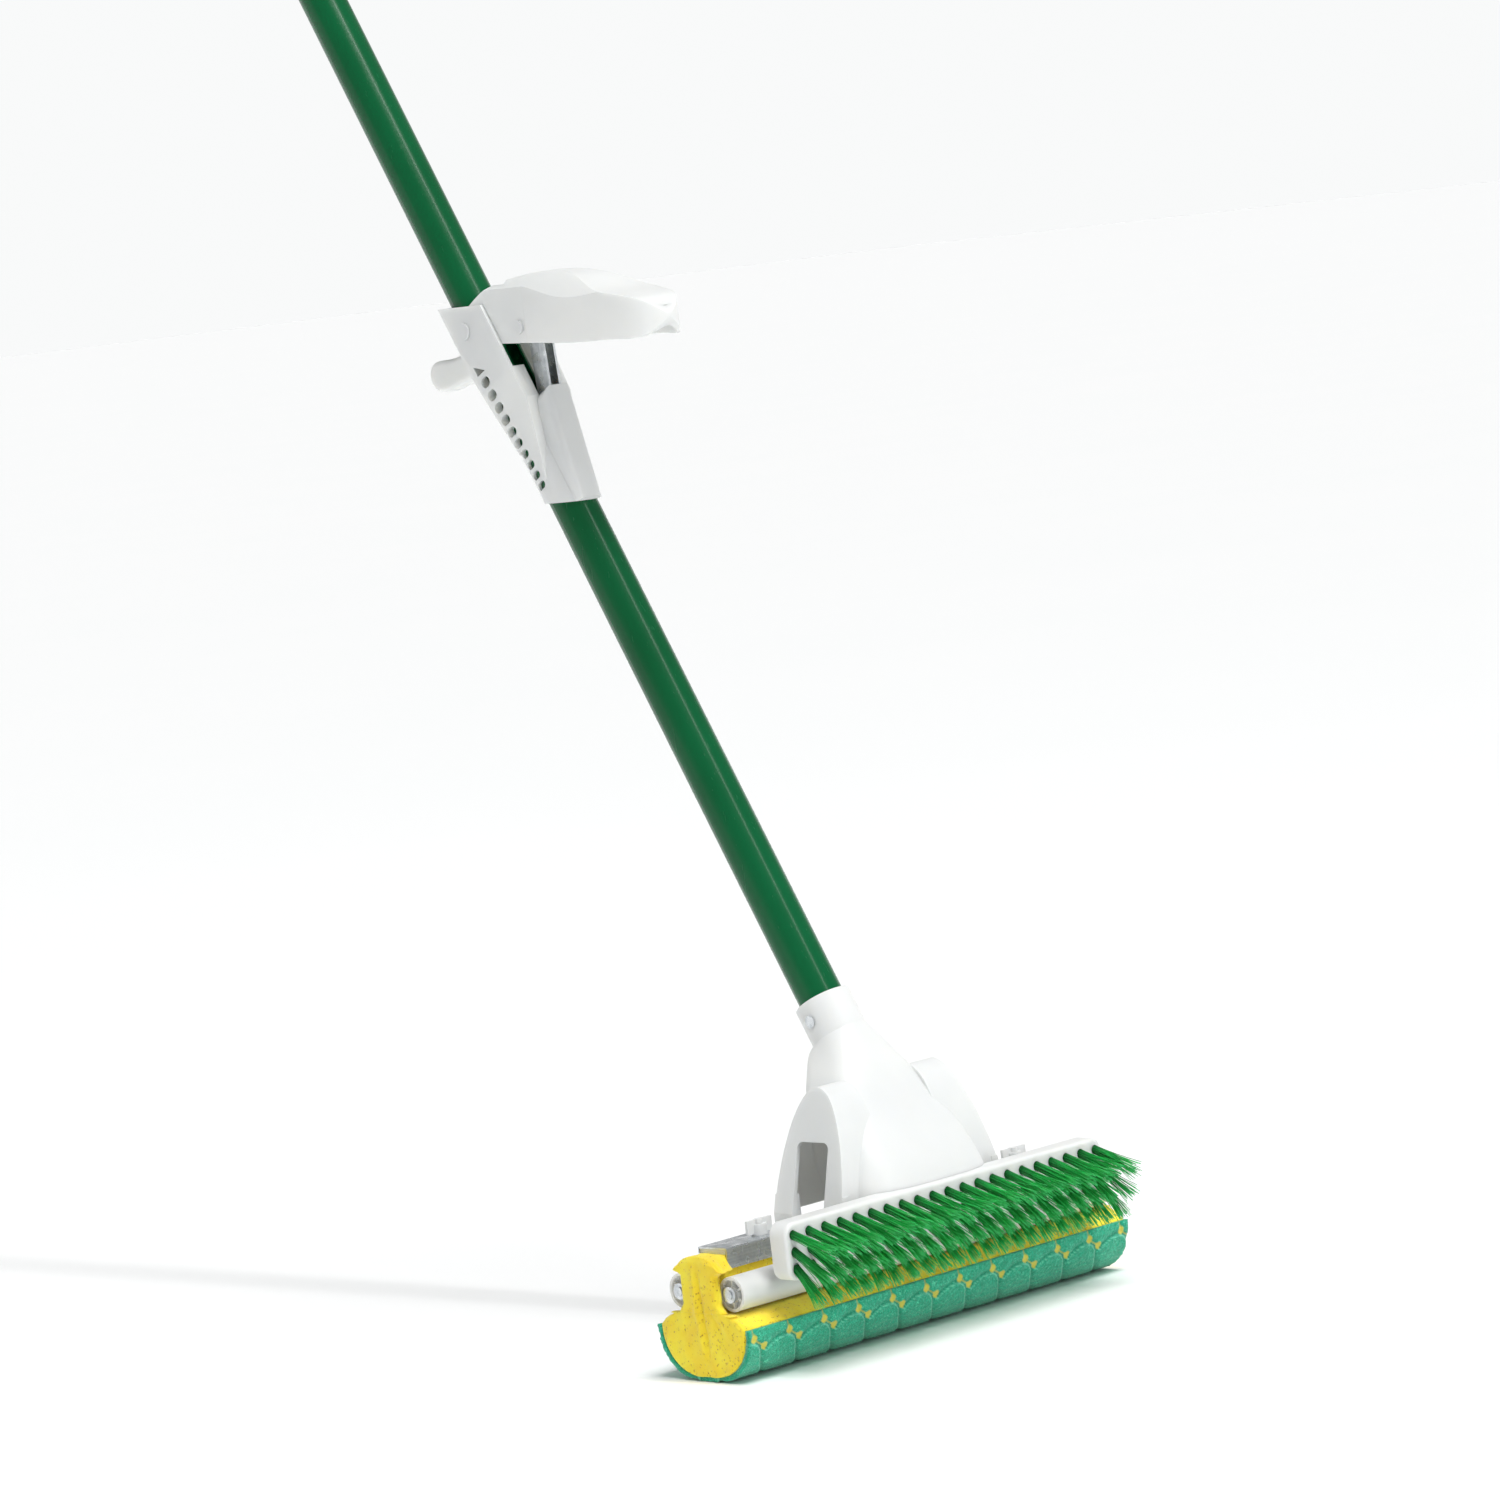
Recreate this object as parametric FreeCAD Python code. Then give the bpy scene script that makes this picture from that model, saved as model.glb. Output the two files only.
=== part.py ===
import FreeCAD, Part
import math
import os

# Twin-roller sponge mop with scrub brush. Millimetres.
# +Z is up from the floor, +X runs along the sponge, the brush faces -Y and the handle leans to +Y.
# The origin is the middle of the sponge's flat underside.

V = FreeCAD.Vector
os.makedirs("parts", exist_ok=True)

# ---- sponge, pad and its steel channel
sponge_length = 292.0
sponge_width = 71.0
foot_half = 8.0
shoulder_lip = 1.5
pad_thickness = 3.0
sponge_under_roller = 0.6
neck_to_roller = 0.4
channel_width = 22.0
channel_height = 11.0
channel_sheet = 0.9
channel_inset = 13.0
channel_over_roller = 2.2
backing_thickness = 2.5
stud_r = 2.5
stud_rise = 8.5
stud_x = 98.0
wing_nut_span = 18.0
wing_nut_height = 6.0

# ---- squeeze rollers
roller_d = 18.8
roller_wall = 1.7
roller_spacing = 38.4
roller_z = 46.5
roller_inset = 5.6
roller_end_recess = 3.0
roller_web = 2.0
roller_ribs = 6
hub_wall = 1.9
axle_d = 5.0
axle_tail = 0.8
running_fit = 0.05
side_gap = 0.4
push_nut_r = 4.4
push_nut_thickness = 1.4

# ---- head housing
housing_over_channel = 2.9
housing_wall = 2.6
bell_set_back = 2.0
cheek_lean = 15.0
cheek_skin = 3.0
cheek_root_x = 24.0
bell_fullness = 3.2
window_reach = 34.0
cheek_half_width = 26.0
cheek_centre_z = 65.0
cheek_rise = 73.0
window_play = 1.0
window_over_channel = 2.4
window_corner = 4.0
leg_inner_x = 55.0
leg_thickness = 7.0
leg_root = 10.0
leg_beyond_axle = 6.8
socket_wall = 2.4
socket_depth = 48.0
socket_straight = 22.0
socket_draft = 1.2

# ---- brush
block_length = 243.0
block_over_housing = 9.0
block_height = 31.0
block_depth = 12.0
block_to_roller = 4.4
block_corner = 7.0
block_edge = 2.0
tufts_per_row = 21
tuft_pitch = 11.6
tuft_rows = ((6.6, 31.0, 17.0), (15.8, 28.0, 29.0), (25.0, 24.0, 43.0))
tuft_root_r = 2.3
tuft_tip_r = 3.5
tuft_hole_play = 0.25
tuft_sink = 3.0
tab_x = 15.0
tab_width = 10.0
tab_thickness = 3.0
tab_drop = 24.0
tab_ledge_back = 4.6
brush_screw_r = 2.0
brush_screw_head_r = 3.6
brush_screw_length = 8.0

# ---- handle
handle_lean = 28.8
handle_cross_z = 113.85
tube_d = 25.4
tube_wall = 1.2
tube_start = 24.0
tube_length = 1016.0
cap_wall = 2.0
cap_grip = 32.0
cap_shoulder = 5.0
hang_hole_r = 5.0
hang_hole_rise = 18.0
hang_loop_r = 12.0
hang_loop_thickness = 13.0
tube_slot_end = 5.0
guide_bush_start = 53.0
guide_bush_length = 17.0
screw_r = 1.8
screw_head_r = 3.4
screw_head = 1.6
screw_bite = 4.0

# ---- lever housing sleeve
sleeve_bottom_z = 457.5
sleeve_top_z = 571.3
sleeve_wall = 2.0
ear_play = 0.35
ear_thickness = 2.0
ear_front = 21.0
ear_back_play = 0.8
ear_below_pivot = 22.0
flank_length = 44.0
flank_foot = 4.0
fork_slot_below_pivot = 36.0
mouth_below_pivot = 56.0
pocket_height = 64.0
pocket_rise = 18.0
pocket_half_width = 9.5
pocket_wall = 2.0
pocket_edge = 4.0
slot_count = 11
slot_first_below_pivot = 23.0
slot_pitch_top = 8.9
slot_pitch_bottom = 6.4
slot_height_top = 6.4
slot_height_bottom = 4.4
slot_width = 7.5
slot_back = 2.5
hook_half_width = 6.5
rivet_rise = 10.0

# ---- wringing lever and its linkage
pivot_s = 506.0
pivot_r = 3.0
pin_head = 1.2
lever_swing = 59.0
link_radius = 44.0
link_slope = 25.0
link_pin_r = 2.5
link_slot_play = 0.4
lever_wall = 2.2
lever_roof = 2.6
lever_crown = 30.0
lever_crown_drop = 16.0
roof_start = 33.0
fork_play = 0.35
fork_eye_r = 8.2
paddle_half_width = 21.5
paddle_reach = 151.5
strap_thickness = 1.5
strap_x = 3.6
strap_half_width = 5.5
rod_r = 3.0
rod_head_play = 0.4
rod_head_length = 17.0
rod_head_drop = 9.0
rod_pin_r = 2.0
collar_r = 5.0
collar_rise = 12.0
collar_length = 9.0
swing_pin_y = 3.0
swing_pin_rise = 9.0
swing_sheet = 1.5
link_eye_r = 4.6
tongue_half = 2.8
sheet_gap = 0.35
slot_clearance = 0.3

# ---- worked out from the sizes above
round_r = sponge_width / 2 - foot_half
shoulder_z = round_r + shoulder_lip
roller_r = roller_d / 2
axle_r = axle_d / 2
roller_y = roller_spacing / 2
roller_end_x = sponge_length / 2 - roller_inset
axle_end_x = roller_end_x + side_gap + push_nut_thickness + axle_tail
neck_half = roller_y - roller_r - neck_to_roller
body_top_z = roller_z - roller_r - sponge_under_roller
channel_bottom_z = roller_z + roller_r + channel_over_roller
channel_top_z = channel_bottom_z + channel_height
channel_end_x = sponge_length / 2 - channel_inset
housing_bottom_z = channel_top_z + housing_over_channel
block_top_z = housing_bottom_z + block_over_housing
block_back_y = -(roller_y + roller_r + block_to_roller)
block_front_y = block_back_y - block_depth
lean = math.radians(handle_lean)
rod_travel = 2 * link_radius * math.sin(math.radians(lever_swing / 2))
lift = rod_travel * math.cos(lean)
side_travel = rod_travel * math.sin(lean)
window_half = channel_width / 2 + window_play
cheek_foot_x = leg_inner_x + leg_thickness
window_top_z = channel_top_z + lift + window_over_channel
tube_r = tube_d / 2
tube_end_s = tube_start + tube_length
socket_rim_s = tube_start + socket_depth
link_pin_s = pivot_s - rod_travel / 2
link_pin_n = link_radius * math.cos(math.radians(lever_swing / 2))
link_pin_play = link_radius - link_pin_n
slope = math.radians(link_slope)
rod_head_s = link_pin_s - link_pin_n / math.tan(slope)
swing_pin_z = channel_top_z + swing_pin_rise
rod_end_y = swing_pin_y - side_travel / 2
rod_end_s = rod_end_y / math.sin(lean)
rod_end_z = handle_cross_z + rod_end_s * math.cos(lean)
swing_length = math.hypot(rod_end_z - swing_pin_z, rod_end_y - swing_pin_y)
swing_play = swing_length - (rod_end_z - swing_pin_z)
fork_in = tube_r + fork_play
fork_out = fork_in + lever_wall
ear_in = fork_out + ear_play
ear_out = ear_in + ear_thickness
ear_back = fork_eye_r + ear_back_play
plate_in = tongue_half + sheet_gap
plate_out = plate_in + swing_sheet
bracket_in = plate_out + sheet_gap
bracket_out = bracket_in + swing_sheet
pivot_y = pivot_s * math.sin(lean)
pivot_z = handle_cross_z + pivot_s * math.cos(lean)
handle_frame = FreeCAD.Placement(V(0, 0, handle_cross_z), FreeCAD.Rotation(V(1, 0, 0), -handle_lean))


# ---------------------------------------------------------------- small helpers
def save(name, shape):
    shape.exportStep("parts/%s.step" % name)


def box(x0, x1, y0, y1, z0, z1):
    return Part.makeBox(x1 - x0, y1 - y0, z1 - z0, V(x0, y0, z0))


def rod_x(r, x0, x1, y, z):
    """A cylinder along X."""
    return Part.makeCylinder(r, x1 - x0, V(x0, y, z), V(1, 0, 0))


def pin_x(r, half, head_r, y, z):
    """A pin along X with a low head at both ends, outside half."""
    shank = rod_x(r, -half - pin_head, half + pin_head, y, z)
    left = rod_x(head_r, -half - pin_head, -half, y, z)
    right = rod_x(head_r, half, half + pin_head, y, z)
    return shank.fuse([left, right]).removeSplitter()


def plate_x(wire, x0, x1):
    """A flat wire in the plane x=0, made a plate from x0 to x1."""
    face = Part.Face(wire)
    face.translate(V(x0, 0, 0))
    return face.extrude(V(x1 - x0, 0, 0))


def polygon_yz(points):
    loop = [V(0, y, z) for y, z in points]
    return Part.makePolygon(loop + [loop[0]])


def smooth_yz(points):
    curve = Part.BSplineCurve()
    curve.interpolate([V(0, y, z) for y, z in points], True)
    return Part.Wire([curve.toShape()])


def slot_yz(r, a, b):
    """A round-ended outline of half width r from centre a to centre b, each (y, z)."""
    run = math.hypot(b[0] - a[0], b[1] - a[1])
    uy = (b[0] - a[0]) / run * r
    uz = (b[1] - a[1]) / run * r
    left_a, right_a = V(0, a[0] - uz, a[1] + uy), V(0, a[0] + uz, a[1] - uy)
    left_b, right_b = V(0, b[0] - uz, b[1] + uy), V(0, b[0] + uz, b[1] - uy)
    end_b = Part.Arc(left_b, V(0, b[0] + uy, b[1] + uz), right_b).toShape()
    end_a = Part.Arc(right_a, V(0, a[0] - uy, a[1] - uz), left_a).toShape()
    return Part.Wire([Part.makeLine(left_a, left_b), end_b, Part.makeLine(right_b, right_a), end_a])


def on_handle(shape):
    """From the handle's own frame (Z up the tube, -Y to the front) to the mop's frame."""
    copy = shape.copy()
    copy.Placement = handle_frame.multiply(copy.Placement)
    return copy


def both_sides(shape):
    return [shape, shape.mirror(V(0, 0, 0), V(1, 0, 0))]


def closed_curve(points):
    curve = Part.BSplineCurve()
    curve.interpolate(points, True)
    return Part.Wire([curve.toShape()])


def oval(z, y_front, y_back, half_x):
    """A level section of the bell, starting at +X: an ellipse with its corners filled out."""
    centre, half_y = (y_front + y_back) / 2, (y_back - y_front) / 2
    points = []
    for i in range(24):
        t = 2 * math.pi * i / 24
        reach = (abs(math.cos(t)) ** bell_fullness + abs(math.sin(t)) ** bell_fullness) ** (-1 / bell_fullness)
        points.append(V(half_x * reach * math.cos(t), centre + half_y * reach * math.sin(t), z))
    return closed_curve(points)


def ring(s, r):
    """A circle square to the tube at s, starting at +X."""
    turns = [2 * math.pi * i / 24 for i in range(24)]
    points = [V(r * math.cos(t), r * math.sin(t), s) for t in turns]
    return closed_curve([handle_frame.multVec(p) for p in points])


# ---------------------------------------------------------------- sponge and carrier
def sponge_outline(inset):
    """The round underside from shoulder to shoulder, moved in by inset."""
    r = round_r - inset
    side = foot_half + r
    c = r * math.sqrt(0.5)
    right = Part.Arc(V(0, foot_half, inset), V(0, foot_half + c, round_r - c), V(0, side, round_r))
    left = Part.Arc(V(0, -side, round_r), V(0, -foot_half - c, round_r - c), V(0, -foot_half, inset))
    foot = Part.makeLine(V(0, -foot_half, inset), V(0, foot_half, inset))
    rise_left = Part.makeLine(V(0, -side, shoulder_z), V(0, -side, round_r))
    rise_right = Part.makeLine(V(0, side, round_r), V(0, side, shoulder_z))
    return [rise_left, left.toShape(), foot, right.toShape(), rise_right], side


def sponge_body():
    edges, side = sponge_outline(pad_thickness)
    slope_right = Part.makeLine(V(0, side, shoulder_z), V(0, neck_half, body_top_z))
    top = Part.makeLine(V(0, neck_half, body_top_z), V(0, -neck_half, body_top_z))
    slope_left = Part.makeLine(V(0, -neck_half, body_top_z), V(0, -side, shoulder_z))
    wire = Part.Wire(edges + [slope_right, top, slope_left])
    return plate_x(wire, -sponge_length / 2, sponge_length / 2)


def scrub_pad():
    outer, out_side = sponge_outline(0.0)
    inner, in_side = sponge_outline(pad_thickness)
    right = Part.makeLine(V(0, out_side, shoulder_z), V(0, in_side, shoulder_z))
    left = Part.makeLine(V(0, -in_side, shoulder_z), V(0, -out_side, shoulder_z))
    wire = Part.Wire(outer + [right] + inner[::-1] + [left])
    return plate_x(wire, -sponge_length / 2, sponge_length / 2)


def sponge_neck():
    top = channel_top_z - channel_sheet - backing_thickness
    return box(-sponge_length / 2, sponge_length / 2, -neck_half, neck_half, body_top_z, top)


def stud_holes():
    return [Part.makeCylinder(stud_r, 40, V(x, 0, channel_top_z - 20)) for x in (-stud_x, stud_x)]


def sponge_backing():
    top = channel_top_z - channel_sheet
    strip = box(-channel_end_x, channel_end_x, -neck_half, neck_half, top - backing_thickness, top)
    studs = [Part.makeCylinder(stud_r, stud_rise + channel_sheet, V(x, 0, top)) for x in (-stud_x, stud_x)]
    return strip.fuse(studs).removeSplitter()


def sponge_channel():
    half = channel_width / 2
    outer = box(-channel_end_x, channel_end_x, -half, half, channel_bottom_z, channel_top_z)
    outer = outer.makeFillet(channel_sheet, [e for e in outer.Edges if top_long_edge(e)])
    inner = box(-channel_end_x, channel_end_x, -half + channel_sheet, half - channel_sheet,
                channel_bottom_z, channel_top_z - channel_sheet)
    return outer.cut(inner).cut(stud_holes()[0]).cut(stud_holes()[1])


def top_long_edge(edge):
    centre = edge.CenterOfMass
    return edge.Length > channel_end_x and centre.z > channel_top_z - 0.01


def wing_nuts():
    nuts = []
    for x in (-stud_x, stud_x):
        hub = Part.makeCylinder(stud_r + 2.0, wing_nut_height, V(x, 0, channel_top_z))
        wings = box(x - wing_nut_span / 2, x + wing_nut_span / 2, -0.9, 0.9,
                    channel_top_z + 1.0, channel_top_z + wing_nut_height + 2.5)
        nut = hub.fuse(wings).cut(Part.makeCylinder(stud_r, 20, V(x, 0, channel_top_z)))
        nuts.append(nut.removeSplitter())
    return Part.makeCompound(nuts)


def lift_bracket():
    ear = slot_yz(link_eye_r + 0.4, (swing_pin_y, swing_pin_z), (swing_pin_y, channel_top_z + 1.0))
    ears = [plate_x(ear, bracket_in, bracket_out), plate_x(ear, -bracket_out, -bracket_in)]
    reach = link_eye_r + 0.4
    foot = box(-bracket_out, bracket_out, swing_pin_y - reach, swing_pin_y + reach,
               channel_top_z, channel_top_z + swing_sheet)
    below = box(-bracket_out, bracket_out, -40, 40, channel_top_z - 40, channel_top_z)
    bracket = foot.fuse([ear_plate.cut(below) for ear_plate in ears])
    return bracket.cut(rod_x(rod_pin_r, -20, 20, swing_pin_y, swing_pin_z)).removeSplitter()


def lift_pin():
    return pin_x(rod_pin_r, bracket_out, rod_pin_r + 1.2, swing_pin_y, swing_pin_z)


# ---------------------------------------------------------------- rollers
def roller(y, x0, x1):
    """A moulded tube with a recessed, ribbed hub at each end, running on the axle."""
    bore_r = axle_r + running_fit
    hub_r = bore_r + hub_wall
    inner_r = roller_r - roller_wall
    shell = rod_x(roller_r, x0, x1, y, roller_z).cut(rod_x(inner_r, x0, x1, y, roller_z))
    pieces = []
    for web_x, hub_x in ((x0 + roller_end_recess, x0), (x1 - roller_end_recess - roller_web,
                                                       x1 - roller_end_recess - roller_web)):
        pieces.append(rod_x(inner_r + 0.2, web_x, web_x + roller_web, y, roller_z))
        pieces.append(rod_x(hub_r, hub_x, hub_x + roller_end_recess + roller_web, y, roller_z))
        rib_x = hub_x if hub_x == x0 else x1 - roller_end_recess
        for i in range(roller_ribs):
            rib = box(rib_x + 0.8, rib_x + roller_end_recess, -0.5, 0.5, hub_r - 0.5, inner_r + 0.3)
            rib.rotate(V(0, 0, 0), V(1, 0, 0), 360.0 * i / roller_ribs)
            rib.translate(V(0, y, roller_z))
            pieces.append(rib)
    whole = shell.fuse(pieces)
    return whole.cut(rod_x(bore_r, x0 - 1, x1 + 1, y, roller_z)).removeSplitter()


def roller_spans():
    inner = leg_inner_x - side_gap
    outer = leg_inner_x + leg_thickness + side_gap
    return {"centre": (-inner, inner), "left": (-roller_end_x, -outer), "right": (outer, roller_end_x)}


def axle(y):
    return rod_x(axle_r, -axle_end_x, axle_end_x, y, roller_z)


def push_nuts():
    nuts = []
    for y in (-roller_y, roller_y):
        start = roller_end_x + side_gap
        nut = rod_x(push_nut_r, start, start + push_nut_thickness, y, roller_z)
        nut = nut.cut(rod_x(axle_r, start - 1, start + 5, y, roller_z))
        nuts += both_sides(nut)
    return Part.makeCompound(nuts)


# ---------------------------------------------------------------- head housing and brush
def bell_ovals(wall, last_rise):
    """The level stations of the bell up to last_rise above its foot, moved in by wall."""
    front = block_front_y + bell_set_back
    stations = ((0.0, 0.0, 27.0, 50.0), (14.0, 3.5, 27.2, 48.0), (28.0, 11.0, 27.6, 45.0),
                (42.0, 20.0, 28.4, 41.0), (55.0, 29.0, 30.3, 35.5), (66.0, 36.0, 33.2, 29.0))
    return [oval(housing_bottom_z + rise, front + step + wall, back - wall, half - wall)
            for rise, step, back, half in stations if rise <= last_rise]


def bell():
    """The flared bell from its open foot to the neck, and the tapered socket on it."""
    socket_r, neck_s = tube_r + socket_wall, socket_rim_s - socket_straight
    skirt = Part.makeLoft(bell_ovals(0.0, 66.0) + [ring(neck_s, socket_r + socket_draft)], True, False)
    socket = Part.makeCylinder(socket_r + socket_draft - 0.4, socket_straight + 9.0, V(0, 0, neck_s - 9.0))
    return skirt.fuse(on_handle(socket))


def bell_room():
    """The hollow in the bell, closing to a stop just inside the foot of the tube."""
    wires = bell_ovals(housing_wall, 55.0) + [ring(tube_start + 3.0, tube_r - tube_wall)]
    return Part.makeLoft(wires, True, False)


def cheek_arch(inset):
    """The arched cheek block on one side: an elliptic arch along X under the leaning outer face."""
    half, rise = cheek_half_width - inset, cheek_rise - inset
    low = housing_bottom_z
    start = math.asin((low - cheek_centre_z) / rise)
    turns = [start + (math.pi - 2 * start) * i / 12 for i in range(13)]
    curve = Part.BSplineCurve()
    curve.interpolate([V(0, half * math.cos(t), cheek_centre_z + rise * math.sin(t)) for t in turns])
    ends = (curve.StartPoint, curve.EndPoint)
    arch = plate_x(Part.Wire([curve.toShape(), Part.makeLine(ends[1], ends[0])]), cheek_root_x, cheek_foot_x + 5)
    top = low + 90.0
    face_foot = cheek_foot_x - inset
    face_top = face_foot - (top - low) * math.tan(math.radians(cheek_lean))
    corners = [V(0, -60, low), V(face_foot, -60, low), V(face_top, -60, top), V(0, -60, top)]
    wedge = Part.Face(Part.makePolygon(corners + [corners[0]])).extrude(V(0, 120, 0))
    return arch.common(wedge)


def leg(y):
    """One leg that carries an axle beside the window."""
    out = roller_y + leg_beyond_axle
    start = window_half if y > 0 else -out
    root_z = housing_bottom_z + leg_root
    root_x = cheek_foot_x - leg_root * math.tan(math.radians(cheek_lean))
    section = ((leg_inner_x, roller_z), (cheek_foot_x, roller_z), (cheek_foot_x, housing_bottom_z),
               (root_x, root_z), (leg_inner_x, root_z), (leg_inner_x, roller_z))
    post = Part.Face(Part.makePolygon([V(x, start, z) for x, z in section])).extrude(V(0, out - window_half, 0))
    heel = rod_x(min(leg_beyond_axle, roller_r - 1.5), leg_inner_x, cheek_foot_x, y, roller_z)
    return post.fuse(heel)


def window_cutter():
    low, high = roller_z - 20.0, window_top_z
    cutter = box(cheek_foot_x - window_reach, cheek_foot_x + 6.0, -window_half, window_half, low, high)
    edges = [e for e in cutter.Edges if e.CenterOfMass.z > high - 0.01 and e.Length > 30.0]
    return cutter.makeFillet(window_corner, edges)


def brush_tab():
    """An angle tab inside the bell's front wall: a ledge over the block and a leg down its back."""
    x0, x1 = tab_x - tab_width / 2, tab_x + tab_width / 2
    front = block_front_y + bell_set_back + tab_ledge_back
    back = block_back_y + tab_thickness
    ledge = box(x0, x1, front, back, block_top_z, block_top_z + tab_thickness)
    leg_down = box(x0, x1, block_back_y, back, block_top_z - tab_drop, block_top_z + tab_thickness)
    return ledge.fuse(leg_down).removeSplitter()


def head_housing():
    solid = bell().fuse(both_sides(cheek_arch(0.0)))
    solid = solid.cut([bell_room()] + both_sides(cheek_arch(cheek_skin)))
    extras = []
    for piece in (leg(roller_y), leg(-roller_y), brush_tab()):
        extras += both_sides(piece)
    solid = solid.fuse(extras)
    block = box(-block_length, block_length, block_front_y - 5, block_back_y, 0, block_top_z)
    seat = Part.makeCylinder(tube_r, socket_depth + 20.0, V(0, 0, tube_start))
    cutters = both_sides(window_cutter()) + [block, on_handle(seat)]
    cutters += [rod_x(axle_r, -100, 100, y, roller_z) for y in (-roller_y, roller_y)]
    cutters += [on_handle(screw) for screw in socket_screw_shapes()]
    cutters += [brush_screw(x) for x in (-tab_x, tab_x)]
    return solid.cut(cutters)


def block_blank():
    half = block_length / 2
    low = block_top_z - block_height
    blank = box(-half, half, block_front_y, block_back_y, low, block_top_z)
    corners = [e for e in blank.Edges if abs(e.Length - block_depth) < 0.01]
    blank = blank.makeFillet(block_corner, corners)
    rim = [e for e in blank.Edges if e.BoundBox.YLength < 0.01 and e.CenterOfMass.y < block_front_y + 0.01]
    return blank.makeFillet(block_edge, rim)


def tuft_roots():
    """Root point, direction and length of every tuft, row by row."""
    rows = []
    for drop, length, tilt in tuft_rows:
        t = math.radians(tilt)
        way = V(0, -math.cos(t), -math.sin(t))
        places = [(i - (tufts_per_row - 1) / 2) * tuft_pitch for i in range(tufts_per_row)]
        rows.append(([V(x, block_front_y, block_top_z - drop) for x in places], way, length))
    return rows


def brush_block():
    holes = []
    for roots, way, length in tuft_roots():
        for root in roots:
            holes.append(Part.makeCylinder(tuft_root_r + tuft_hole_play, 2 * tuft_sink,
                                           root - way * tuft_sink, way))
    screws = [brush_screw(x) for x in (-tab_x, tab_x)]
    return block_blank().cut(holes + screws)


def tuft_row(row):
    roots, way, length = row
    tufts = []
    for root in roots:
        shank = Part.makeCylinder(tuft_root_r, tuft_sink + 1.0, root - way * tuft_sink, way)
        spread = Part.makeCone(tuft_root_r, tuft_tip_r, length - 1.0, root + way * 1.0, way)
        tufts.append(shank.fuse(spread))
    return Part.makeCompound(tufts)


def brush_screw(x):
    z = block_top_z - block_height / 2
    seat = block_back_y + tab_thickness
    shank = Part.makeCylinder(brush_screw_r, tab_thickness + brush_screw_length, V(x, seat, z), V(0, -1, 0))
    head = Part.makeCylinder(brush_screw_head_r, screw_head, V(x, seat, z), V(0, 1, 0))
    return shank.fuse(head).removeSplitter()


# ---------------------------------------------------------------- handle, in its own frame
def socket_screw_shapes():
    """Two short screws through the socket and the tube into the guide bush."""
    s = guide_bush_start + guide_bush_length / 2
    seat = tube_r + socket_wall - 0.6
    shank = rod_x(screw_r, tube_r - screw_bite, seat, 0, s)
    head = rod_x(screw_head_r, seat, seat + screw_head, 0, s)
    return both_sides(shank.fuse(head).removeSplitter())


def sleeve_rivet():
    """A blind rivet through the sleeve's back into the tube."""
    s = sleeve_low_s() + rivet_rise
    out = tube_r + sleeve_wall
    shank = Part.makeCylinder(screw_r, sleeve_wall + tube_wall, V(0, out, s), V(0, -1, 0))
    head = Part.makeCylinder(screw_head_r, screw_head, V(0, out - 0.3, s), V(0, 1, 0))
    return shank.fuse(head).removeSplitter()


def sleeve_low_s():
    return (sleeve_bottom_z - handle_cross_z) / math.cos(lean)


def pivot_pin():
    return pin_x(pivot_r, ear_out, pivot_r + 2.2, 0, pivot_s)


def handle_tube():
    outer = Part.makeCylinder(tube_r, tube_length, V(0, 0, tube_start))
    inner = Part.makeCylinder(tube_r - tube_wall, tube_length, V(0, 0, tube_start))
    reach = strap_half_width / math.sin(slope)
    low = rod_head_s + (tube_r - tube_wall) / math.tan(slope) - reach - tube_slot_end
    high = rod_head_s + tube_r / math.tan(slope) + reach + rod_travel + tube_slot_end
    half = strap_x + strap_thickness / 2 + 0.7
    slot = box(-half, half, -tube_r - 5, -tube_r + 5, low, high)
    corners = [e for e in slot.Edges if e.BoundBox.XLength < 0.01 and e.BoundBox.ZLength < 0.01]
    slot = slot.makeFillet(half - 0.5, corners)
    cutters = [inner, slot, rod_x(pivot_r, -40, 40, 0, pivot_s), sleeve_rivet()]
    return outer.cut(cutters + socket_screw_shapes())


def guide_bush():
    bush = Part.makeCylinder(tube_r - tube_wall, guide_bush_length, V(0, 0, guide_bush_start))
    bore = Part.makeCylinder(rod_r + running_fit, guide_bush_length, V(0, 0, guide_bush_start))
    return bush.cut([bore] + socket_screw_shapes())


def handle_end_cap():
    out = tube_r + cap_wall
    start = tube_end_s - cap_grip
    body = Part.makeCylinder(out, cap_grip + cap_shoulder, V(0, 0, start))
    rims = [e for e in body.Edges if e.BoundBox.ZLength < 0.01]
    body = body.makeFillet(cap_wall - 0.4, rims)
    loop = plate_x(slot_yz(hang_loop_r, (0, tube_end_s), (0, tube_end_s + hang_hole_rise)),
                   -hang_loop_thickness / 2, hang_loop_thickness / 2)
    below = box(-50, 50, -50, 50, tube_end_s - 50, tube_end_s + cap_shoulder / 2)
    cap = body.fuse(loop.cut(below))
    seat = Part.makeCylinder(tube_r, cap_grip, V(0, 0, start))
    hole = rod_x(hang_hole_r, -30, 30, 0, tube_end_s + hang_hole_rise)
    return cap.cut([seat, hole]).removeSplitter()


def sleeve_slots():
    """The graded row of round-ended slots down each side, the first one cut to a point."""
    cutters = []
    s = pivot_s - slot_first_below_pivot
    for i in range(slot_count):
        share = i / (slot_count - 1)
        height = slot_height_top + (slot_height_bottom - slot_height_top) * share
        if i == 0:
            front, back = slot_back - slot_width / 2, slot_back + slot_width / 2
            wire = polygon_yz(((back, s + height / 2), (back, s - height / 2), (front, s - height / 2)))
        else:
            inner = slot_width / 2 - height / 2
            wire = slot_yz(height / 2, (slot_back - inner, s), (slot_back + inner, s))
        cutters += both_sides(plate_x(wire, tube_r - 2.0, ear_out + 3.0))
        s -= slot_pitch_top + (slot_pitch_bottom - slot_pitch_top) * share
    return cutters


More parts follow.
